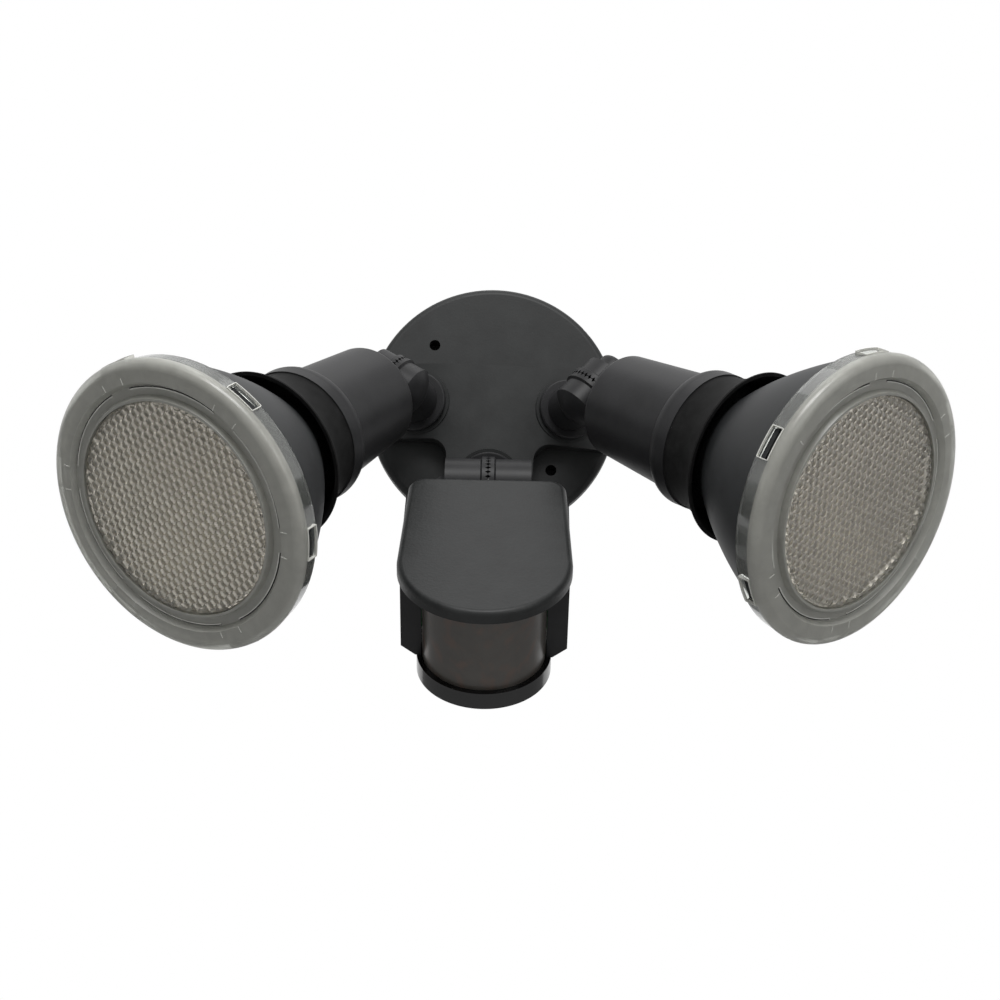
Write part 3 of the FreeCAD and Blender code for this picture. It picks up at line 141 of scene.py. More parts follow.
class Graph:
    """A material's node graph around one Principled shader."""

    def __init__(self, name: str) -> None:
        """Make an empty material.

        Args:
            name: The material's name.
        """
        self.material = bpy.data.materials.new(name)
        self.material.use_nodes = True
        self.tree = self.material.node_tree
        self.tree.nodes.clear()
        self.output = self.tree.nodes.new("ShaderNodeOutputMaterial")
        self.shader = self.tree.nodes.new("ShaderNodeBsdfPrincipled")
        self.tree.links.new(self.shader.outputs[0], self.output.inputs["Surface"])

    def node(self, kind: str, settings: dict[str, Any], inputs: dict[Any, Any]) -> bpy.types.Node:
        """Add a node, set its settings and then its inputs.

        Args:
            kind: The node's type.
            settings: Properties of the node.
            inputs: Values, sockets or Value objects by input name or index.

        Returns:
            The node.
        """
        made = self.tree.nodes.new(kind)
        for name, value in settings.items():
            setattr(made, name, value)
        for name, value in inputs.items():
            self.feed(made.inputs[name], value)
        return made

    def feed(self, socket: bpy.types.NodeSocket, value: Any) -> None:
        """Link or set an input.

        Args:
            socket: The input socket.
            value: A Value, an output socket, a number or a colour.
        """
        if isinstance(value, Value):
            self.tree.links.new(value.socket, socket)
        elif isinstance(value, bpy.types.NodeSocket):
            self.tree.links.new(value, socket)
        elif isinstance(value, tuple) and socket.type == "RGBA":
            socket.default_value = (*value, 1.0)
        else:
            socket.default_value = value

    def place(self) -> bpy.types.NodeSocket:
        """The surface point in the model's own frame, in metres."""
        return self.node("ShaderNodeTexCoord", {}, {}).outputs["Object"]

    def along(self, origin: Vector, direction: Vector) -> Value:
        """How far the surface point lies along a direction.

        Args:
            origin: Where the distance is measured from.
            direction: The unit direction.

        Returns:
            The distance in millimetres.
        """
        offset = self.node("ShaderNodeVectorMath", {"operation": "SUBTRACT"},
                           {0: self.place(), 1: tuple(origin)})
        dot = self.node("ShaderNodeVectorMath", {"operation": "DOT_PRODUCT"},
                        {0: offset.outputs["Vector"], 1: tuple(direction)})
        return Value(self, dot.outputs["Value"]) / MM

    def noise(self, size_mm: float, detail: float = 2.0, roughness: float = 0.5,
              stretch: tuple[float, float, float] = (1.0, 1.0, 1.0)) -> Value:
        """Cloudy noise around 0.5.

        Args:
            size_mm: The size of its blotches.
            detail: Finer octaves that are added.
            roughness: How strong the finer octaves are.
            stretch: Factors on the three axes; a small one draws the blotches out.

        Returns:
            The noise's height.
        """
        scaled = self.node("ShaderNodeVectorMath", {"operation": "MULTIPLY"},
                           {0: self.place(), 1: stretch})
        made = self.node("ShaderNodeTexNoise", {"noise_dimensions": "3D"},
                         {"Vector": scaled.outputs["Vector"], "Scale": 1.0 / (size_mm * MM),
                          "Detail": detail, "Roughness": roughness})
        return Value(self, made.outputs["Fac"])

    def cells(self, size_mm: float) -> Value:
        """Distance to the nearest of scattered points.

        Args:
            size_mm: The mean spacing of the points.

        Returns:
            The distance, in cell sizes.
        """
        made = self.node("ShaderNodeTexVoronoi", {"feature": "F1"},
                         {"Vector": self.place(), "Scale": 1.0 / (size_mm * MM)})
        return Value(self, made.outputs["Distance"])

    def blend(self, factor: Number, first: Any, second: Any) -> bpy.types.NodeSocket:
        """Mix two colours.

        Args:
            factor: The share of the second colour.
            first: A colour or colour socket.
            second: A colour or colour socket.

        Returns:
            The mixed colour.
        """
        made = self.node("ShaderNodeMix", {"data_type": "RGBA"}, {"Factor": factor})
        self.feed(made.inputs[6], first)
        self.feed(made.inputs[7], second)
        return made.outputs[2]

    def second_shader(self, share: Value) -> bpy.types.Node:
        """Mix a second Principled shader over the first.

        Args:
            share: Where the second one shows, from 0 to 1.

        Returns:
            The second shader.
        """
        other = self.tree.nodes.new("ShaderNodeBsdfPrincipled")
        mix = self.node("ShaderNodeMixShader", {}, {0: share, 1: self.shader.outputs[0],
                                                    2: other.outputs[0]})
        self.tree.links.new(mix.outputs[0], self.output.inputs["Surface"])
        return other

    def relief(self, height: Value, depth_mm: float, strength: float = 1.0) -> None:
        """Bump the surface by a height field.

        Args:
            height: The height, about 0 to 1.
            depth_mm: The real height that 1 stands for.
            strength: The bump's strength.
        """
        made = self.node("ShaderNodeBump", {}, {"Height": height, "Distance": depth_mm * MM,
                                                "Strength": strength})
        for shader in self.tree.nodes:
            if shader.type == "BSDF_PRINCIPLED":
                self.feed(shader.inputs["Normal"], made.outputs["Normal"])

    def set(self, shader: bpy.types.Node | None = None, **values: Any) -> None:
        """Set or link a shader's inputs, named with underscores for spaces.

        Args:
            shader: The shader, or the first one where it isn't given.
            **values: Values by input name.
        """
        for name, value in values.items():
            self.feed((shader or self.shader).inputs[name.replace("_", " ")], value)


# ------------------------------------------------------------------ finishes


@dataclass(frozen=True)
class Finish:
    """The common part of every finish: a name and a colour."""

    name: str
    colour: Colour

    def shade(self, graph: Graph) -> None:
        """Fill in the graph; each finish does its own."""
        raise NotImplementedError

    def material(self) -> bpy.types.Material:
        """Build the finish's material.

        Returns:
            The material.
        """
        graph = Graph(self.name)
        self.shade(graph)
        graph.material.diffuse_color = (*self.colour, 1.0)
        return graph.material


@dataclass(frozen=True)
class MouldedPlastic(Finish):
    """Injection-moulded plastic with a spark-eroded grain."""

    roughness: float = 0.45
    grain_mm: float = 0.55
    grain_depth_mm: float = 0.03
    mottle: float = 0.25
    specular: float = 0.22

    def shade(self, graph: Graph) -> None:
        """Grain, faint flow mottling and scuffs in the sheen."""
        clouds = graph.noise(14.0, detail=4.0, roughness=0.6)
        grain = graph.noise(self.grain_mm, detail=2.0, roughness=0.6)
        speckle = graph.cells(self.grain_mm * 1.9)
        shade = graph.blend(clouds.between(0.3, 0.7),
                            tuple(c * (1 - self.mottle) for c in self.colour),
                            tuple(c * (1 + self.mottle) for c in self.colour))
        graph.set(Base_Color=shade, Roughness=self.roughness - 0.06 + clouds * 0.12,
                  Specular_IOR_Level=self.specular)
        graph.relief(grain * 0.6 + speckle * 0.4, self.grain_depth_mm)


@dataclass(frozen=True)
class GlossPlastic(Finish):
    """Polished moulded plastic with a slight waviness."""

    roughness: float = 0.14

    def shade(self, graph: Graph) -> None:
        """Long soft waves and faint handling marks."""
        waves = graph.noise(9.0, detail=1.0)
        marks = graph.noise(1.6, detail=3.0, roughness=0.7)
        graph.set(Base_Color=self.colour, Roughness=self.roughness + marks.between(0.45, 0.75) * 0.1,
                  Specular_IOR_Level=0.5)
        graph.relief(waves, 0.05, 0.6)


@dataclass(frozen=True)
class Rubber(Finish):
    """Dull moulded rubber with a powdery bloom."""

    roughness: float = 0.7
    bloom: float = 0.5
    specular: float = 0.08

    def shade(self, graph: Graph) -> None:
        """Bloom in blotches over a fine grain."""
        blotches = graph.noise(6.0, detail=5.0, roughness=0.65)
        grain = graph.noise(0.35, detail=1.0)
        pale = tuple(c + 0.02 * self.bloom for c in self.colour)
        graph.set(Base_Color=graph.blend(blotches.between(0.35, 0.75), self.colour, pale),
                  Roughness=self.roughness - 0.08 + blotches * 0.16,
                  Specular_IOR_Level=self.specular)
        graph.relief(grain, 0.02, 0.7)


@dataclass(frozen=True)
class ClearPlastic(Finish):
    """Smoky clear polycarbonate with moulding haze."""

    roughness: float = 0.12
    transmission: float = 0.9
    haze: float = 0.25

    def shade(self, graph: Graph) -> None:
        """Haze in streaks, and faint flow lines."""
        streaks = graph.noise(5.0, detail=4.0, roughness=0.6)
        flow = graph.noise(2.2, detail=2.0)
        pale = tuple(min(1.0, c * 1.12) for c in self.colour)
        graph.set(Base_Color=graph.blend(streaks.between(0.35, 0.7), self.colour, pale),
                  Roughness=self.roughness + streaks.between(0.4, 0.8) * self.haze,
                  Transmission_Weight=self.transmission, IOR=1.58)
        graph.relief(flow, 0.04, 0.5)


@dataclass(frozen=True)
class SnapCoverPlastic(Finish):
    """Clear polycarbonate whose front is frosted from a level along the lamp's beam."""

    origin: tuple[float, float, float] = (0.0, 0.0, 0.0)
    beam: tuple[float, float, float] = (0.0, 0.0, 1.0)
    frost_start_mm: float = -4.4
    frost_end_mm: float = -3.4
    frosted: Colour = (0.4, 0.4, 0.365)
    clear_transmission: float = 0.95
    frost_transmission: float = 0.4
    index: float = 1.5

    def shade(self, graph: Graph) -> None:
        """Frost with cloudy flow marks over a clear, faintly hazy skirt."""
        height = graph.along(Vector(self.origin), Vector(self.beam))
        streaks = graph.noise(6.0, detail=4.0, roughness=0.6)
        pale = tuple(min(1.0, c * 1.2) for c in self.frosted)
        graph.set(Base_Color=self.colour, Roughness=0.05 + streaks.between(0.4, 0.8) * 0.1,
                  Transmission_Weight=self.clear_transmission, IOR=self.index)
        frost = graph.second_shader(height.between(self.frost_start_mm, self.frost_end_mm))
        graph.set(frost, Base_Color=graph.blend(streaks.between(0.3, 0.7), self.frosted, pale),
                  Roughness=0.26 + streaks * 0.12,
                  Transmission_Weight=self.frost_transmission, IOR=self.index)
        graph.relief(graph.noise(2.4, detail=2.0), 0.04, 0.4)


@dataclass(frozen=True)
class MilkyPlastic(Finish):
    """Thin milky plastic of a motion sensor's window."""

    roughness: float = 0.35
    transmission: float = 0.35

    def shade(self, graph: Graph) -> None:
        """Soft clouding of a drawn sheet."""
        clouds = graph.noise(7.0, detail=3.0)
        dark = tuple(c * 0.86 for c in self.colour)
        streaks = graph.noise(5.0, detail=2.0, stretch=(1.0, 1.0, 0.08))
        ground = graph.blend(clouds.between(0.3, 0.7), dark, self.colour)
        warm = tuple(c * k for c, k in zip(self.colour, (1.25, 0.95, 0.85)))
        graph.set(Base_Color=graph.blend(streaks.between(0.5, 0.7), ground, warm),
                  Roughness=self.roughness + clouds * 0.1,
                  Transmission_Weight=self.transmission, IOR=1.5)
        graph.relief(graph.noise(1.1, detail=2.0), 0.02, 0.5)


@dataclass(frozen=True)
class Metal(Finish):
    """Drawn or turned metal with tarnish."""

    roughness: float = 0.3
    tarnish: float = 0.2

    def shade(self, graph: Graph) -> None:
        """Tarnish blotches and fine tool marks."""
        blotches = graph.noise(3.5, detail=4.0, roughness=0.6)
        marks = graph.noise(0.25, detail=1.0)
        dull = tuple(c * (1 - self.tarnish) for c in self.colour)
        graph.set(Base_Color=graph.blend(blotches.between(0.35, 0.75), self.colour, dull),
                  Metallic=1.0, Roughness=self.roughness + blotches * 0.15)
        graph.relief(marks, 0.01, 0.5)


@dataclass(frozen=True)
class Foam(Finish):
    """Closed-cell foam rubber."""

    cell_mm: float = 0.6

    def shade(self, graph: Graph) -> None:
        """Cut cells all over the surface."""
        cells = graph.cells(self.cell_mm)
        pale = tuple(c * 1.6 for c in self.colour)
        graph.set(Base_Color=graph.blend(cells.between(0.2, 0.7), self.colour, pale), Roughness=0.9)
        graph.relief(cells, 0.15, 0.8)


@dataclass(frozen=True)
class Laminate(Finish):
    """Glass-fibre circuit board under a green resist, with tracks."""

    def shade(self, graph: Graph) -> None:
        """A woven ground with paler tracks."""
        weave = graph.node("ShaderNodeTexBrick", {}, {
            "Vector": graph.place(), "Scale": 260.0, "Color1": self.colour,
            "Color2": tuple(c * 1.35 for c in self.colour),
            "Mortar": tuple(c * 0.7 for c in self.colour), "Mortar Size": 0.03})
        tracks = graph.noise(2.6, detail=0.0)
        bright = tuple(c * 1.7 for c in self.colour)
        graph.set(Base_Color=graph.blend(tracks.between(0.52, 0.56), weave.outputs["Color"], bright),
                  Roughness=0.35)
        graph.relief(tracks.between(0.52, 0.56), 0.03, 0.5)


class Finishes(enum.Enum):
    """Every finish of the light."""

    COVER_PLASTIC = MouldedPlastic("cover_plastic", (0.021, 0.022, 0.022), 0.46, 0.6, 0.03)
    HOLDER_PLASTIC = MouldedPlastic("holder_plastic", (0.017, 0.017, 0.018), 0.44, 0.55, 0.03)
    LID_PLASTIC = MouldedPlastic("lid_plastic", (0.02, 0.021, 0.021), 0.42, 0.9, 0.09)
    LAMP_PLASTIC = MouldedPlastic("lamp_plastic", (0.018, 0.019, 0.02), 0.5, 0.5, 0.02)
    GLOSS_BLACK = GlossPlastic("gloss_black_plastic", (0.006, 0.006, 0.006))
    SEAL_RUBBER = Rubber("seal_rubber", (0.006, 0.006, 0.006))
    FOAM_RUBBER = Foam("foam_rubber", (0.02, 0.02, 0.02))
    LENS = ClearPlastic("prismatic_lens", (0.76, 0.72, 0.63), 0.05, 0.92, 0.04)
    # Pale clear plastic for the cover's painted edge highlights and for its gate marks.
    COVER_HIGHLIGHT_AND_MARK_PLASTIC = ClearPlastic("cover_painted_highlight_and_gate_mark", (0.85, 0.85, 0.8), 0.1, 0.3, 0.1)
    WINDOW = MilkyPlastic("sensor_window", (0.075, 0.068, 0.06), 0.28, 0.1)
    REFLECTOR = Metal("reflector", (0.6, 0.58, 0.53), 0.24, 0.2)
    CAP_METAL = Metal("lamp_cap_metal", (0.78, 0.78, 0.77), 0.28, 0.2)
    BRASS = Metal("brass", (0.75, 0.58, 0.28), 0.3, 0.3)
    STEEL = Metal("zinc_plated_steel", (0.62, 0.62, 0.6), 0.35, 0.25)
    SOCKET = MouldedPlastic("socket_plastic", (0.66, 0.63, 0.56), 0.55, 0.4, 0.02, 0.08)
    WHITE = MouldedPlastic("white_plastic", (0.72, 0.72, 0.7), 0.45, 0.4, 0.02, 0.06)
    KNOB = MouldedPlastic("knob_plastic", (0.07, 0.07, 0.075), 0.5, 0.4, 0.02)
    BOARD = Laminate("circuit_board", (0.03, 0.12, 0.05))


ARM_FINISHES: dict[str, Finishes] = {
    "swivel": Finishes.HOLDER_PLASTIC,
    "swivel_nut": Finishes.HOLDER_PLASTIC,
    "swivel_seal": Finishes.SEAL_RUBBER,
    "clamp_screw": Finishes.HOLDER_PLASTIC,
    "clamp_nut": Finishes.STEEL,
    "lamp_holder": Finishes.HOLDER_PLASTIC,
    "socket_body": Finishes.SOCKET,
    "socket_shell": Finishes.BRASS,
    "socket_contact": Finishes.BRASS,
    "holder_gasket": Finishes.SEAL_RUBBER,
    "lamp_body": Finishes.LAMP_PLASTIC,
    "lamp_cap": Finishes.CAP_METAL,
    "lamp_contact": Finishes.BRASS,
    "reflector": Finishes.REFLECTOR,
    "led_board": Finishes.WHITE,
    "lamp_lens": Finishes.LENS,
}
SENSOR_FINISHES: dict[str, Finishes] = {
    "sensor_swivel": Finishes.HOLDER_PLASTIC,
    "sensor_swivel_nut": Finishes.HOLDER_PLASTIC,
    "sensor_swivel_seal": Finishes.SEAL_RUBBER,
    "sensor_clamp_screw": Finishes.STEEL,
    "sensor_clamp_nut": Finishes.STEEL,
    "sensor_housing": Finishes.HOLDER_PLASTIC,
    "sensor_lid": Finishes.LID_PLASTIC,
    "sensor_window": Finishes.WINDOW,
    "sensor_foot": Finishes.GLOSS_BLACK,
    "sensor_circuit_board": Finishes.BOARD,
    "sensor_detector": Finishes.CAP_METAL,
    "sensor_relay": Finishes.GLOSS_BLACK,
    "sensor_trimmers": Finishes.WHITE,
    "light_level_knob": Finishes.KNOB,
    "time_knob": Finishes.KNOB,
    "range_knob": Finishes.KNOB,
}
BASE_FINISHES: dict[str, Finishes] = {
    "base_cover": Finishes.COVER_PLASTIC,
    "back_plate": Finishes.HOLDER_PLASTIC,
    "back_plate_screws": Finishes.STEEL,
    "wall_gasket": Finishes.FOAM_RUBBER,
    "cable_grommet": Finishes.SEAL_RUBBER,
    "terminal_block": Finishes.WHITE,
    "terminal_screws": Finishes.BRASS,
}


class Paintshop:
    """Builds each finish once and puts it on pieces."""

    def __init__(self) -> None:
        """Start with no materials built."""
        self._built: dict[Finishes, bpy.types.Material] = {}

    def material(self, finish: Finishes) -> bpy.types.Material:
        """The material of a finish.

        Args:
            finish: The finish.

        Returns:
            Its material, built the first time.
        """
        if finish not in self._built:
            self._built[finish] = finish.value.material()
        return self._built[finish]

    def dress(self, finishes: dict[str, Finishes], prefix: str = "") -> None:
        """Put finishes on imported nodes.

        Args:
            finishes: The finish of each node.
            prefix: What stands before each node's name.
        """
        for name, finish in finishes.items():
            node = frame["nodes"][prefix + name]
            for slot in node.material_slots:
                slot.material = self.material(finish)
            LOG.info("%s: %s", prefix + name, finish.value.name)


# ------------------------------------------------------------------ pieces


def new_piece(name: str, mesh: bmesh.types.BMesh, place: Matrix, smooth: bool) -> bpy.types.Object:
    """Turn a bmesh into an object of the scene.

    Args:
        name: The piece's name.
        mesh: Its geometry; it is freed.
        place: Its place in the model's frame.
        smooth: Whether its faces are shaded smooth.

    Returns:
        The object.
    """
    data = bpy.data.meshes.new(name)
    mesh.to_mesh(data)
    mesh.free()
    data.transform(place)
    for polygon in data.polygons:
        polygon.use_smooth = smooth
    piece = bpy.data.objects.new(name, data)
    bpy.context.scene.collection.objects.link(piece)
    return piece


def middle(node: str) -> Vector:
    """The centre of a node's box."""
    low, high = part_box(node)
    return (low + high) / 2


def joint_at(name: str) -> tuple[Vector, Vector]:
    """A joint's place and axis.

    Args:
        name: The joint.

    Returns:
        Its point and its axis.
    """
    joint = next(item for item in frame["joints"] if item["name"] == name)
    return Vector(joint["pos_m"]), Vector(joint["axis"]).normalized()


def lamp_place(side: str) -> Matrix:
    """A lamp's frame: the lens's centre, x along the knuckle and z out of the lamp.

    Args:
        side: The arm.

    Returns:
        The frame.
    """
    pivot, axis = joint_at(side + "_tilt")
    centre = middle(side + "_lamp_lens")
    beam = (centre - pivot).normalized()
    rotation = Matrix((axis, beam.cross(axis), beam)).transposed().to_4x4()
    return Matrix.Translation(centre) @ rotation


def add_sector(mesh: bmesh.types.BMesh, radii_mm: tuple[float, float],
               levels_mm: tuple[float, float], middle_deg: float, half_deg: float) -> None:
    """Add a closed piece of a flat ring.

    Args:
        mesh: Where it goes.
        radii_mm: Its inner and outer radius.
        levels_mm: Its lower and upper level.
        middle_deg: The angle of its middle.
        half_deg: Half the angle it spans.
    """
    count = max(2, int(half_deg))
    rings = []
    for index in range(count + 1):
        angle = math.radians(middle_deg - half_deg + 2 * half_deg * index / count)
        ring = [mesh.verts.new((r * MM * math.cos(angle), r * MM * math.sin(angle), z * MM))
                for r, z in ((radii_mm[0], levels_mm[0]), (radii_mm[1], levels_mm[0]),
                             (radii_mm[1], levels_mm[1]), (radii_mm[0], levels_mm[1]))]
        rings.append(ring)
    for first, second in zip(rings, rings[1:]):
        for index in range(4):
            after = (index + 1) % 4
            mesh.faces.new((first[index], second[index], second[after], first[after]))
    mesh.faces.new(rings[0])
    mesh.faces.new(tuple(reversed(rings[-1])))


@dataclass
class CoverTrim:
    """The fine lines of a lamp's cover: painted highlights along the snap window edges and beside the
    flange slots, painted shade as dark strips for the slots, and gate marks.
    """

    side: str
    turn_deg: float
    lens_front_mm: float = 1.1
    windows: int = 6
    window_half_deg: float = 6.3
    window_levels_mm: tuple[float, float] = (-10.2, -5.2)
    edge_mm: float = 0.35
    skirt_radii_mm: tuple[float, float] = (59.6, 60.75)
    # The flange slots are drawn as flush dark strips of painted shade, each with a pale bead of painted
    # highlight along its inner edge.
    slot_shade_radii_mm: tuple[float, float] = (49.4, 49.9)
    slot_highlight_radii_mm: tuple[float, float] = (49.0, 49.4)
    floor_mm: float = -2.4
    slot_half_deg: float = 24.0
    mark_radii_mm: tuple[float, float] = (51.6, 54.4)

    def build(self, shop: Paintshop) -> None:
        """Build the pale painted highlights and gate marks, and the dark strips of painted slot shade.

        Args:
            shop: Where the finishes come from.
        """
        pale, dark = bmesh.new(), bmesh.new()
        front, edge = self.lens_front_mm, self.edge_mm
        low, high = (level + front for level in self.window_levels_mm)
        floor = self.floor_mm + front
        for index in range(self.windows):
            angle = self.turn_deg + 360.0 / self.windows * index
            half = self.window_half_deg
            # Pale strips round each snap window, top, bottom and sides: painted highlights on its
            # edges.
            for level in (low - edge, high):
                add_sector(pale, self.skirt_radii_mm, (level, level + edge), angle, half)
            for side in (-1, 1):
                add_sector(pale, self.skirt_radii_mm, (low, high), angle + side * half, edge / 2)
                add_sector(pale, self.mark_radii_mm, (front - 0.1, front + 0.12),
                           angle + side * half * 0.9, 0.15)
            between = angle + 180.0 / self.windows
            # A flush dark strip on the flange: painted shade standing for the slot.
            add_sector(dark, self.slot_shade_radii_mm, (floor - 0.1, floor + 0.06), between,
                       self.slot_half_deg)
            # A pale bead along the strip's inner edge: painted highlight on the slot's edge.
            add_sector(pale, self.slot_highlight_radii_mm, (floor - 0.1, floor + 0.3), between,
                       self.slot_half_deg)
        # The pale piece carries painted highlights and gate marks, the dark piece painted slot shade.
        for name, mesh, finish in (("_cover_painted_highlights_and_gate_marks", pale, Finishes.COVER_HIGHLIGHT_AND_MARK_PLASTIC),
                                   ("_cover_painted_slot_shade", dark, Finishes.GLOSS_BLACK)):
            bmesh.ops.recalc_face_normals(mesh, faces=mesh.faces)
            piece = new_piece(self.side + name, mesh, lamp_place(self.side), smooth=False)
            piece.data.materials.append(shop.material(finish))
            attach(piece, self.side + "_lamp")
            LOG.info("%s: %d faces", piece.name, len(piece.data.polygons))


@dataclass
class PrismaticLens:
    """The lamp's round front: close-packed convex prisms on a slightly domed disc."""

    side: str
    radius_mm: float = 44.1
    thickness_mm: float = 2.2
    pitch_mm: float = 3.6
    steps: int = 6
    prism_height_mm: float = 1.3
    rim_mm: float = 0.6

    def height(self, column: int, row: int, x: float, y: float) -> float:
        """Height of the front over the disc's back.

        Args:
            column: The point's first lattice index.
            row: Its second.
            x: Its place across the lens.
            y: Its place along it.

        Returns:
            The height in metres.
        """
        size = self.steps
        pitch = self.pitch_mm * MM
        nearest = math.inf
        for i in (column // size, column // size + 1):
            for j in (row // size, row // size + 1):
                px = (i + j * 0.5) * pitch
                py = j * math.sqrt(3) / 2 * pitch
                nearest = min(nearest, math.hypot(x - px, y - py))
        reach = pitch / math.sqrt(3)
        share = min(nearest / reach, 1.0)
        from_rim = (self.radius_mm - self.rim_mm) * MM - math.hypot(x, y)
        prism = self.prism_height_mm * MM * (1 - share * share) if from_rim > 0 else 0.0
        return (self.thickness_mm - self.prism_height_mm) * MM + prism

    def build(self, shop: Paintshop) -> None:
        """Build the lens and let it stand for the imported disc.

        Args:
            shop: Where its material comes from.
        """
        step = self.pitch_mm * MM / self.steps
        radius = self.radius_mm * MM
        reach = int(radius / step * 1.3) + 2
        mesh = bmesh.new()
        points: dict[tuple[int, int], bmesh.types.BMVert] = {}
        back = self.thickness_mm * MM / 2
        for row in range(-reach, reach + 1):
            for column in range(-2 * reach, 2 * reach + 1):
                x = (column + row * 0.5) * step
                y = row * math.sqrt(3) / 2 * step
                if math.hypot(x, y) <= radius - step * 0.3:
                    z = self.height(column, row, x, y) - back
                    points[column, row] = mesh.verts.new((x, y, z))
        for (column, row), vertex in points.items():
            for corners in (((1, 0), (0, 1)), ((0, 1), (-1, 1))):
                others = [points.get((column + i, row + j)) for i, j in corners]
                if all(others):
                    mesh.faces.new((vertex, *others))
        self._close_rim(mesh, radius, back)
        bmesh.ops.recalc_face_normals(mesh, faces=mesh.faces)
        piece = new_piece(self.side + "_prismatic_lens", mesh, lamp_place(self.side), smooth=False)
        piece.data.materials.append(shop.material(Finishes.LENS))
        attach(piece, self.side + "_lamp")
        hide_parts(self.side + "_lamp_lens")
        LOG.info("%s: %d faces", piece.name, len(piece.data.polygons))

    @staticmethod
    def _close_rim(mesh: bmesh.types.BMesh, radius: float, back: float) -> None:
        """Join the front's edge to a round rim and close the back.

        Args:
            mesh: The front of the lens.
            radius: The rim's radius.
            back: How far the back lies below the centre.
        """
        loops = [edge for edge in mesh.edges if edge.is_boundary]
        ordered = sorted({v for edge in loops for v in edge.verts},
                         key=lambda v: math.atan2(v.co.y, v.co.x))
        rims: list[list[bmesh.types.BMVert]] = []
        for level in (ordered[0].co.z, -back):
            ring = []
            for vertex in ordered:
                angle = math.atan2(vertex.co.y, vertex.co.x)
                ring.append(mesh.verts.new((radius * math.cos(angle), radius * math.sin(angle), level)))
            rims.append(ring)
        count = len(ordered)
        bmesh.ops.bridge_loops(mesh, edges=loops + [
            mesh.edges.new((rims[0][i], rims[0][(i + 1) % count])) for i in range(count)])
        for i in range(count):
            j = (i + 1) % count
            mesh.faces.new((rims[0][i], rims[0][j], rims[1][j], rims[1][i]))
        mesh.faces.new(rims[1])


@dataclass
class LampArm:
    """One swivelling arm with its holder, gasket and lamp."""

    side: str
    turn_deg: float
    cover_colour: Colour = (0.86, 0.88, 0.84)

    def build(self, shop: Paintshop) -> None:
        """Dress the arm, and build its lens and the fine lines of its cover.

        Args:
            shop: Where the finishes come from.
        """
        shop.dress(ARM_FINISHES, self.side + "_")
        PrismaticLens(self.side).build(shop)
        CoverTrim(self.side, self.turn_deg).build(shop)
        place = lamp_place(self.side)
        cover = SnapCoverPlastic(self.side + "_snap_cover", self.cover_colour,
                                 tuple(place.translation), tuple(place.col[2].xyz)).material()
        for slot in frame["nodes"][self.side + "_lamp_cover"].material_slots:
            slot.material = cover
        LOG.info("%s_lamp_cover: %s", self.side, cover.name)


@dataclass
class SensorHead:
    """The motion sensor with its knuckle, window and dials."""

    def build(self, shop: Paintshop) -> None:
        """Dress the head.

        Args:
            shop: Where the finishes come from.
        """
        shop.dress(SENSOR_FINISHES)


@dataclass
class WallBase:
    """The round base with its gasket, plate and terminals; foam closes its two fixing holes."""

    fixing_mm: float = 28.99
    hole_mm: float = 2.62
    membrane_mm: float = -0.9
    membrane_thickness_mm: float = 0.6
    gasket_slot: str = "foam_rubber"

    def build(self, shop: Paintshop) -> None:
        """Dress the base and close its fixing holes.

        Args:
            shop: Where the finishes come from.
        """
        shop.dress(BASE_FINISHES)
        mesh = bmesh.new()
        for x, z in ((-1, 1), (1, -1)):
            place = Matrix.Translation((x * self.fixing_mm * MM, self.membrane_mm * MM,
                                        z * self.fixing_mm * MM))
            bmesh.ops.create_cone(mesh, cap_ends=True, segments=32, radius1=self.hole_mm * MM,
                                  radius2=self.hole_mm * MM, depth=self.membrane_thickness_mm * MM,
                                  matrix=place @ Matrix.Rotation(math.pi / 2, 4, "X"))
        piece = new_piece("gasket_membranes", mesh, Matrix.Identity(4), smooth=False)
        piece.data.materials.append(shop.material(Finishes.FOAM_RUBBER))
        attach(piece, "base")


# ------------------------------------------------------------------ studio


@dataclass
class SoftBox:
    """A rectangular soft light aimed at a point."""

    name: str
    place: tuple[float, float, float]
    size: tuple[float, float]
    watts: float
    target: tuple[float, float, float] = (0.0, -0.08, -0.05)

    def build(self) -> None:
        """Hang the light."""
        data = bpy.data.lights.new(self.name, "AREA")
        data.shape = "RECTANGLE"
        data.size, data.size_y = self.size
        data.energy = self.watts
        light = bpy.data.objects.new(self.name, data)
        bpy.context.scene.collection.objects.link(light)
        light.location = self.place
        aim = Vector(self.target) - Vector(self.place)
        light.rotation_euler = aim.to_track_quat("-Z", "Y").to_euler()


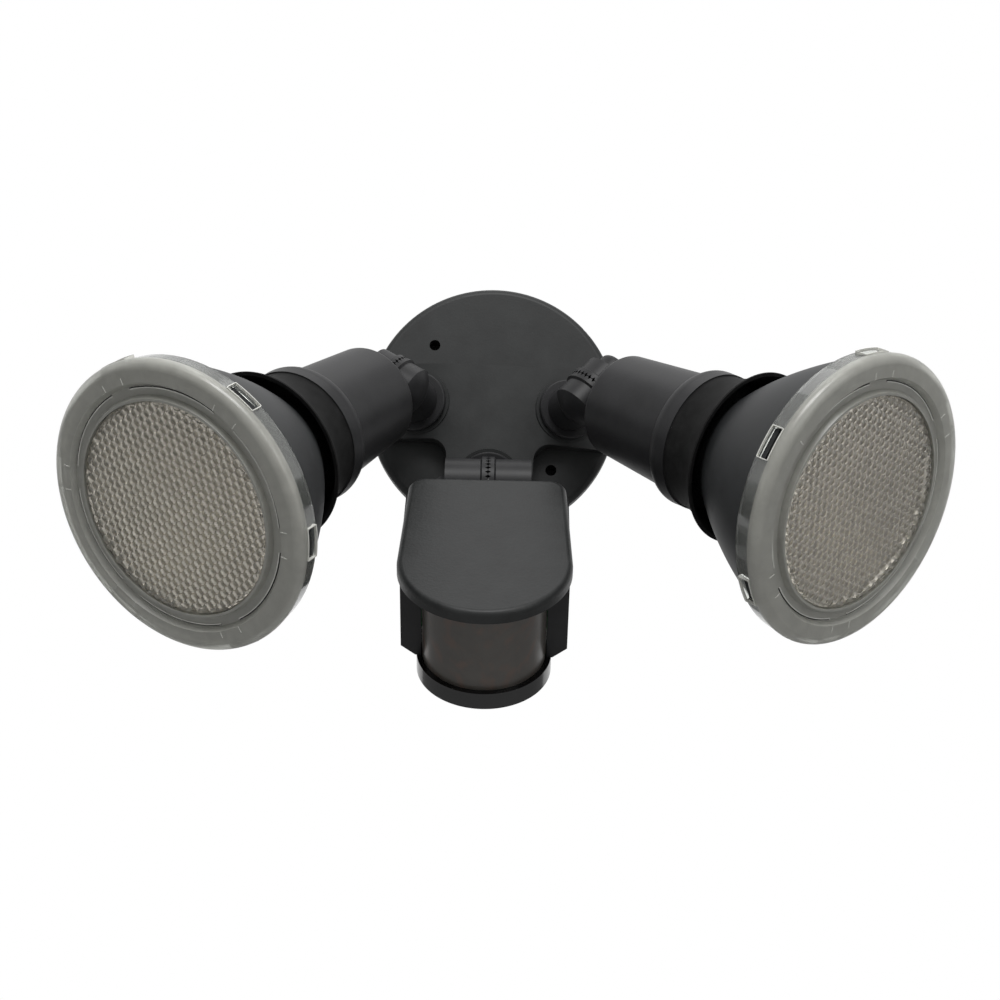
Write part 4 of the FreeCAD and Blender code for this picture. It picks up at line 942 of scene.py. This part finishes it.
@dataclass
class Studio:
    """Camera, soft boxes, pale floor and white surroundings."""

    focal_px: float = 1877.478
    frame_px: float = 1000.0
    right: tuple[float, float, float] = (0.998651, -0.0097005, 0.0510326)
    down: tuple[float, float, float] = (0.0519446, 0.1934489, -0.9797328)
    forward: tuple[float, float, float] = (-0.0003706, 0.9810618, 0.1936964)
    shift_m: tuple[float, float, float] = (-0.0036408, -0.0417308, 0.900)
    floor_drop: float = 0.9
    floor_half: float = 6.0
    ambient: float = 0.3

    def build_camera(self) -> None:
        """Stand the camera where the photographer stood."""
        data = bpy.data.cameras.new("camera")
        data.sensor_width = 36.0
        data.lens = self.focal_px * data.sensor_width / self.frame_px
        data.clip_start = 0.01
        data.clip_end = 50.0
        camera = bpy.data.objects.new("camera", data)
        bpy.context.scene.collection.objects.link(camera)
        right, down, forward = (Vector(v).normalized() for v in (self.right, self.down, self.forward))
        rotation = Matrix((right, -down, -forward)).transposed()
        shift = Vector(self.shift_m)
        centre = -(right * shift.x + down * shift.y + forward * shift.z)
        camera.matrix_world = Matrix.Translation(centre) @ rotation.to_4x4()
        bpy.context.scene.camera = camera

    def build_floor(self) -> None:
        """Lay the pale floor below the light."""
        mesh = bmesh.new()
        half = self.floor_half
        low = CAD_BOUNDS[0][2] - self.floor_drop
        corners = [mesh.verts.new((x, y, low)) for x, y in
                   ((-half, -half), (half, -half), (half, half), (-half, half))]
        mesh.faces.new(corners)
        floor = new_piece("studio_floor", mesh, Matrix.Identity(4), smooth=False)
        graph = Graph("studio_floor")
        graph.set(Base_Color=(0.8, 0.8, 0.8), Roughness=0.9)
        floor.data.materials.append(graph.material)

    def build_world(self) -> None:
        """White to the camera, to gloss and through glass, and a plain soft level on the object."""
        world = bpy.data.worlds.new("studio_world")
        bpy.context.scene.world = world
        world.use_nodes = True
        tree = world.node_tree
        tree.nodes.clear()
        path = tree.nodes.new("ShaderNodeLightPath")
        output = tree.nodes.new("ShaderNodeOutputWorld")
        seen = path.outputs["Is Camera Ray"]
        for kind in ("Is Glossy Ray", "Is Transmission Ray"):
            either = tree.nodes.new("ShaderNodeMath")
            either.operation = "MAXIMUM"
            tree.links.new(seen, either.inputs[0])
            tree.links.new(path.outputs[kind], either.inputs[1])
            seen = either.outputs[0]
        strength = tree.nodes.new("ShaderNodeMapRange")
        tree.links.new(seen, strength.inputs["Value"])
        strength.inputs["To Min"].default_value = self.ambient
        strength.inputs["To Max"].default_value = 1.0
        background = tree.nodes.new("ShaderNodeBackground")
        background.inputs["Color"].default_value = (1.0, 1.0, 1.0, 1.0)
        tree.links.new(strength.outputs[0], background.inputs["Strength"])
        tree.links.new(background.outputs[0], output.inputs["Surface"])

    def build(self) -> None:
        """Set up the whole studio."""
        self.build_camera()
        self.build_floor()
        self.build_world()
        for box in (SoftBox("key", (0.0, -1.1, 0.95), (0.8, 0.5), 15.0),
                    SoftBox("fill", (0.9, -1.2, 0.3), (0.8, 0.8), 3.0),
                    SoftBox("top", (0.0, 0.1, 1.2), (1.0, 0.6), 2.5)):
            box.build()
        bpy.context.scene.view_settings.view_transform = "Standard"


LAMP_TURNS_DEG = {"right": -6.0, "left": 14.0}


def main() -> None:
    """Build the studio and every sub-assembly in order."""
    logging.basicConfig(level=logging.INFO)
    shop = Paintshop()
    Studio().build()
    WallBase().build(shop)
    for side, turn in LAMP_TURNS_DEG.items():
        LampArm(side, turn).build(shop)
    SensorHead().build(shop)


if __name__ == "__main__":
    main()
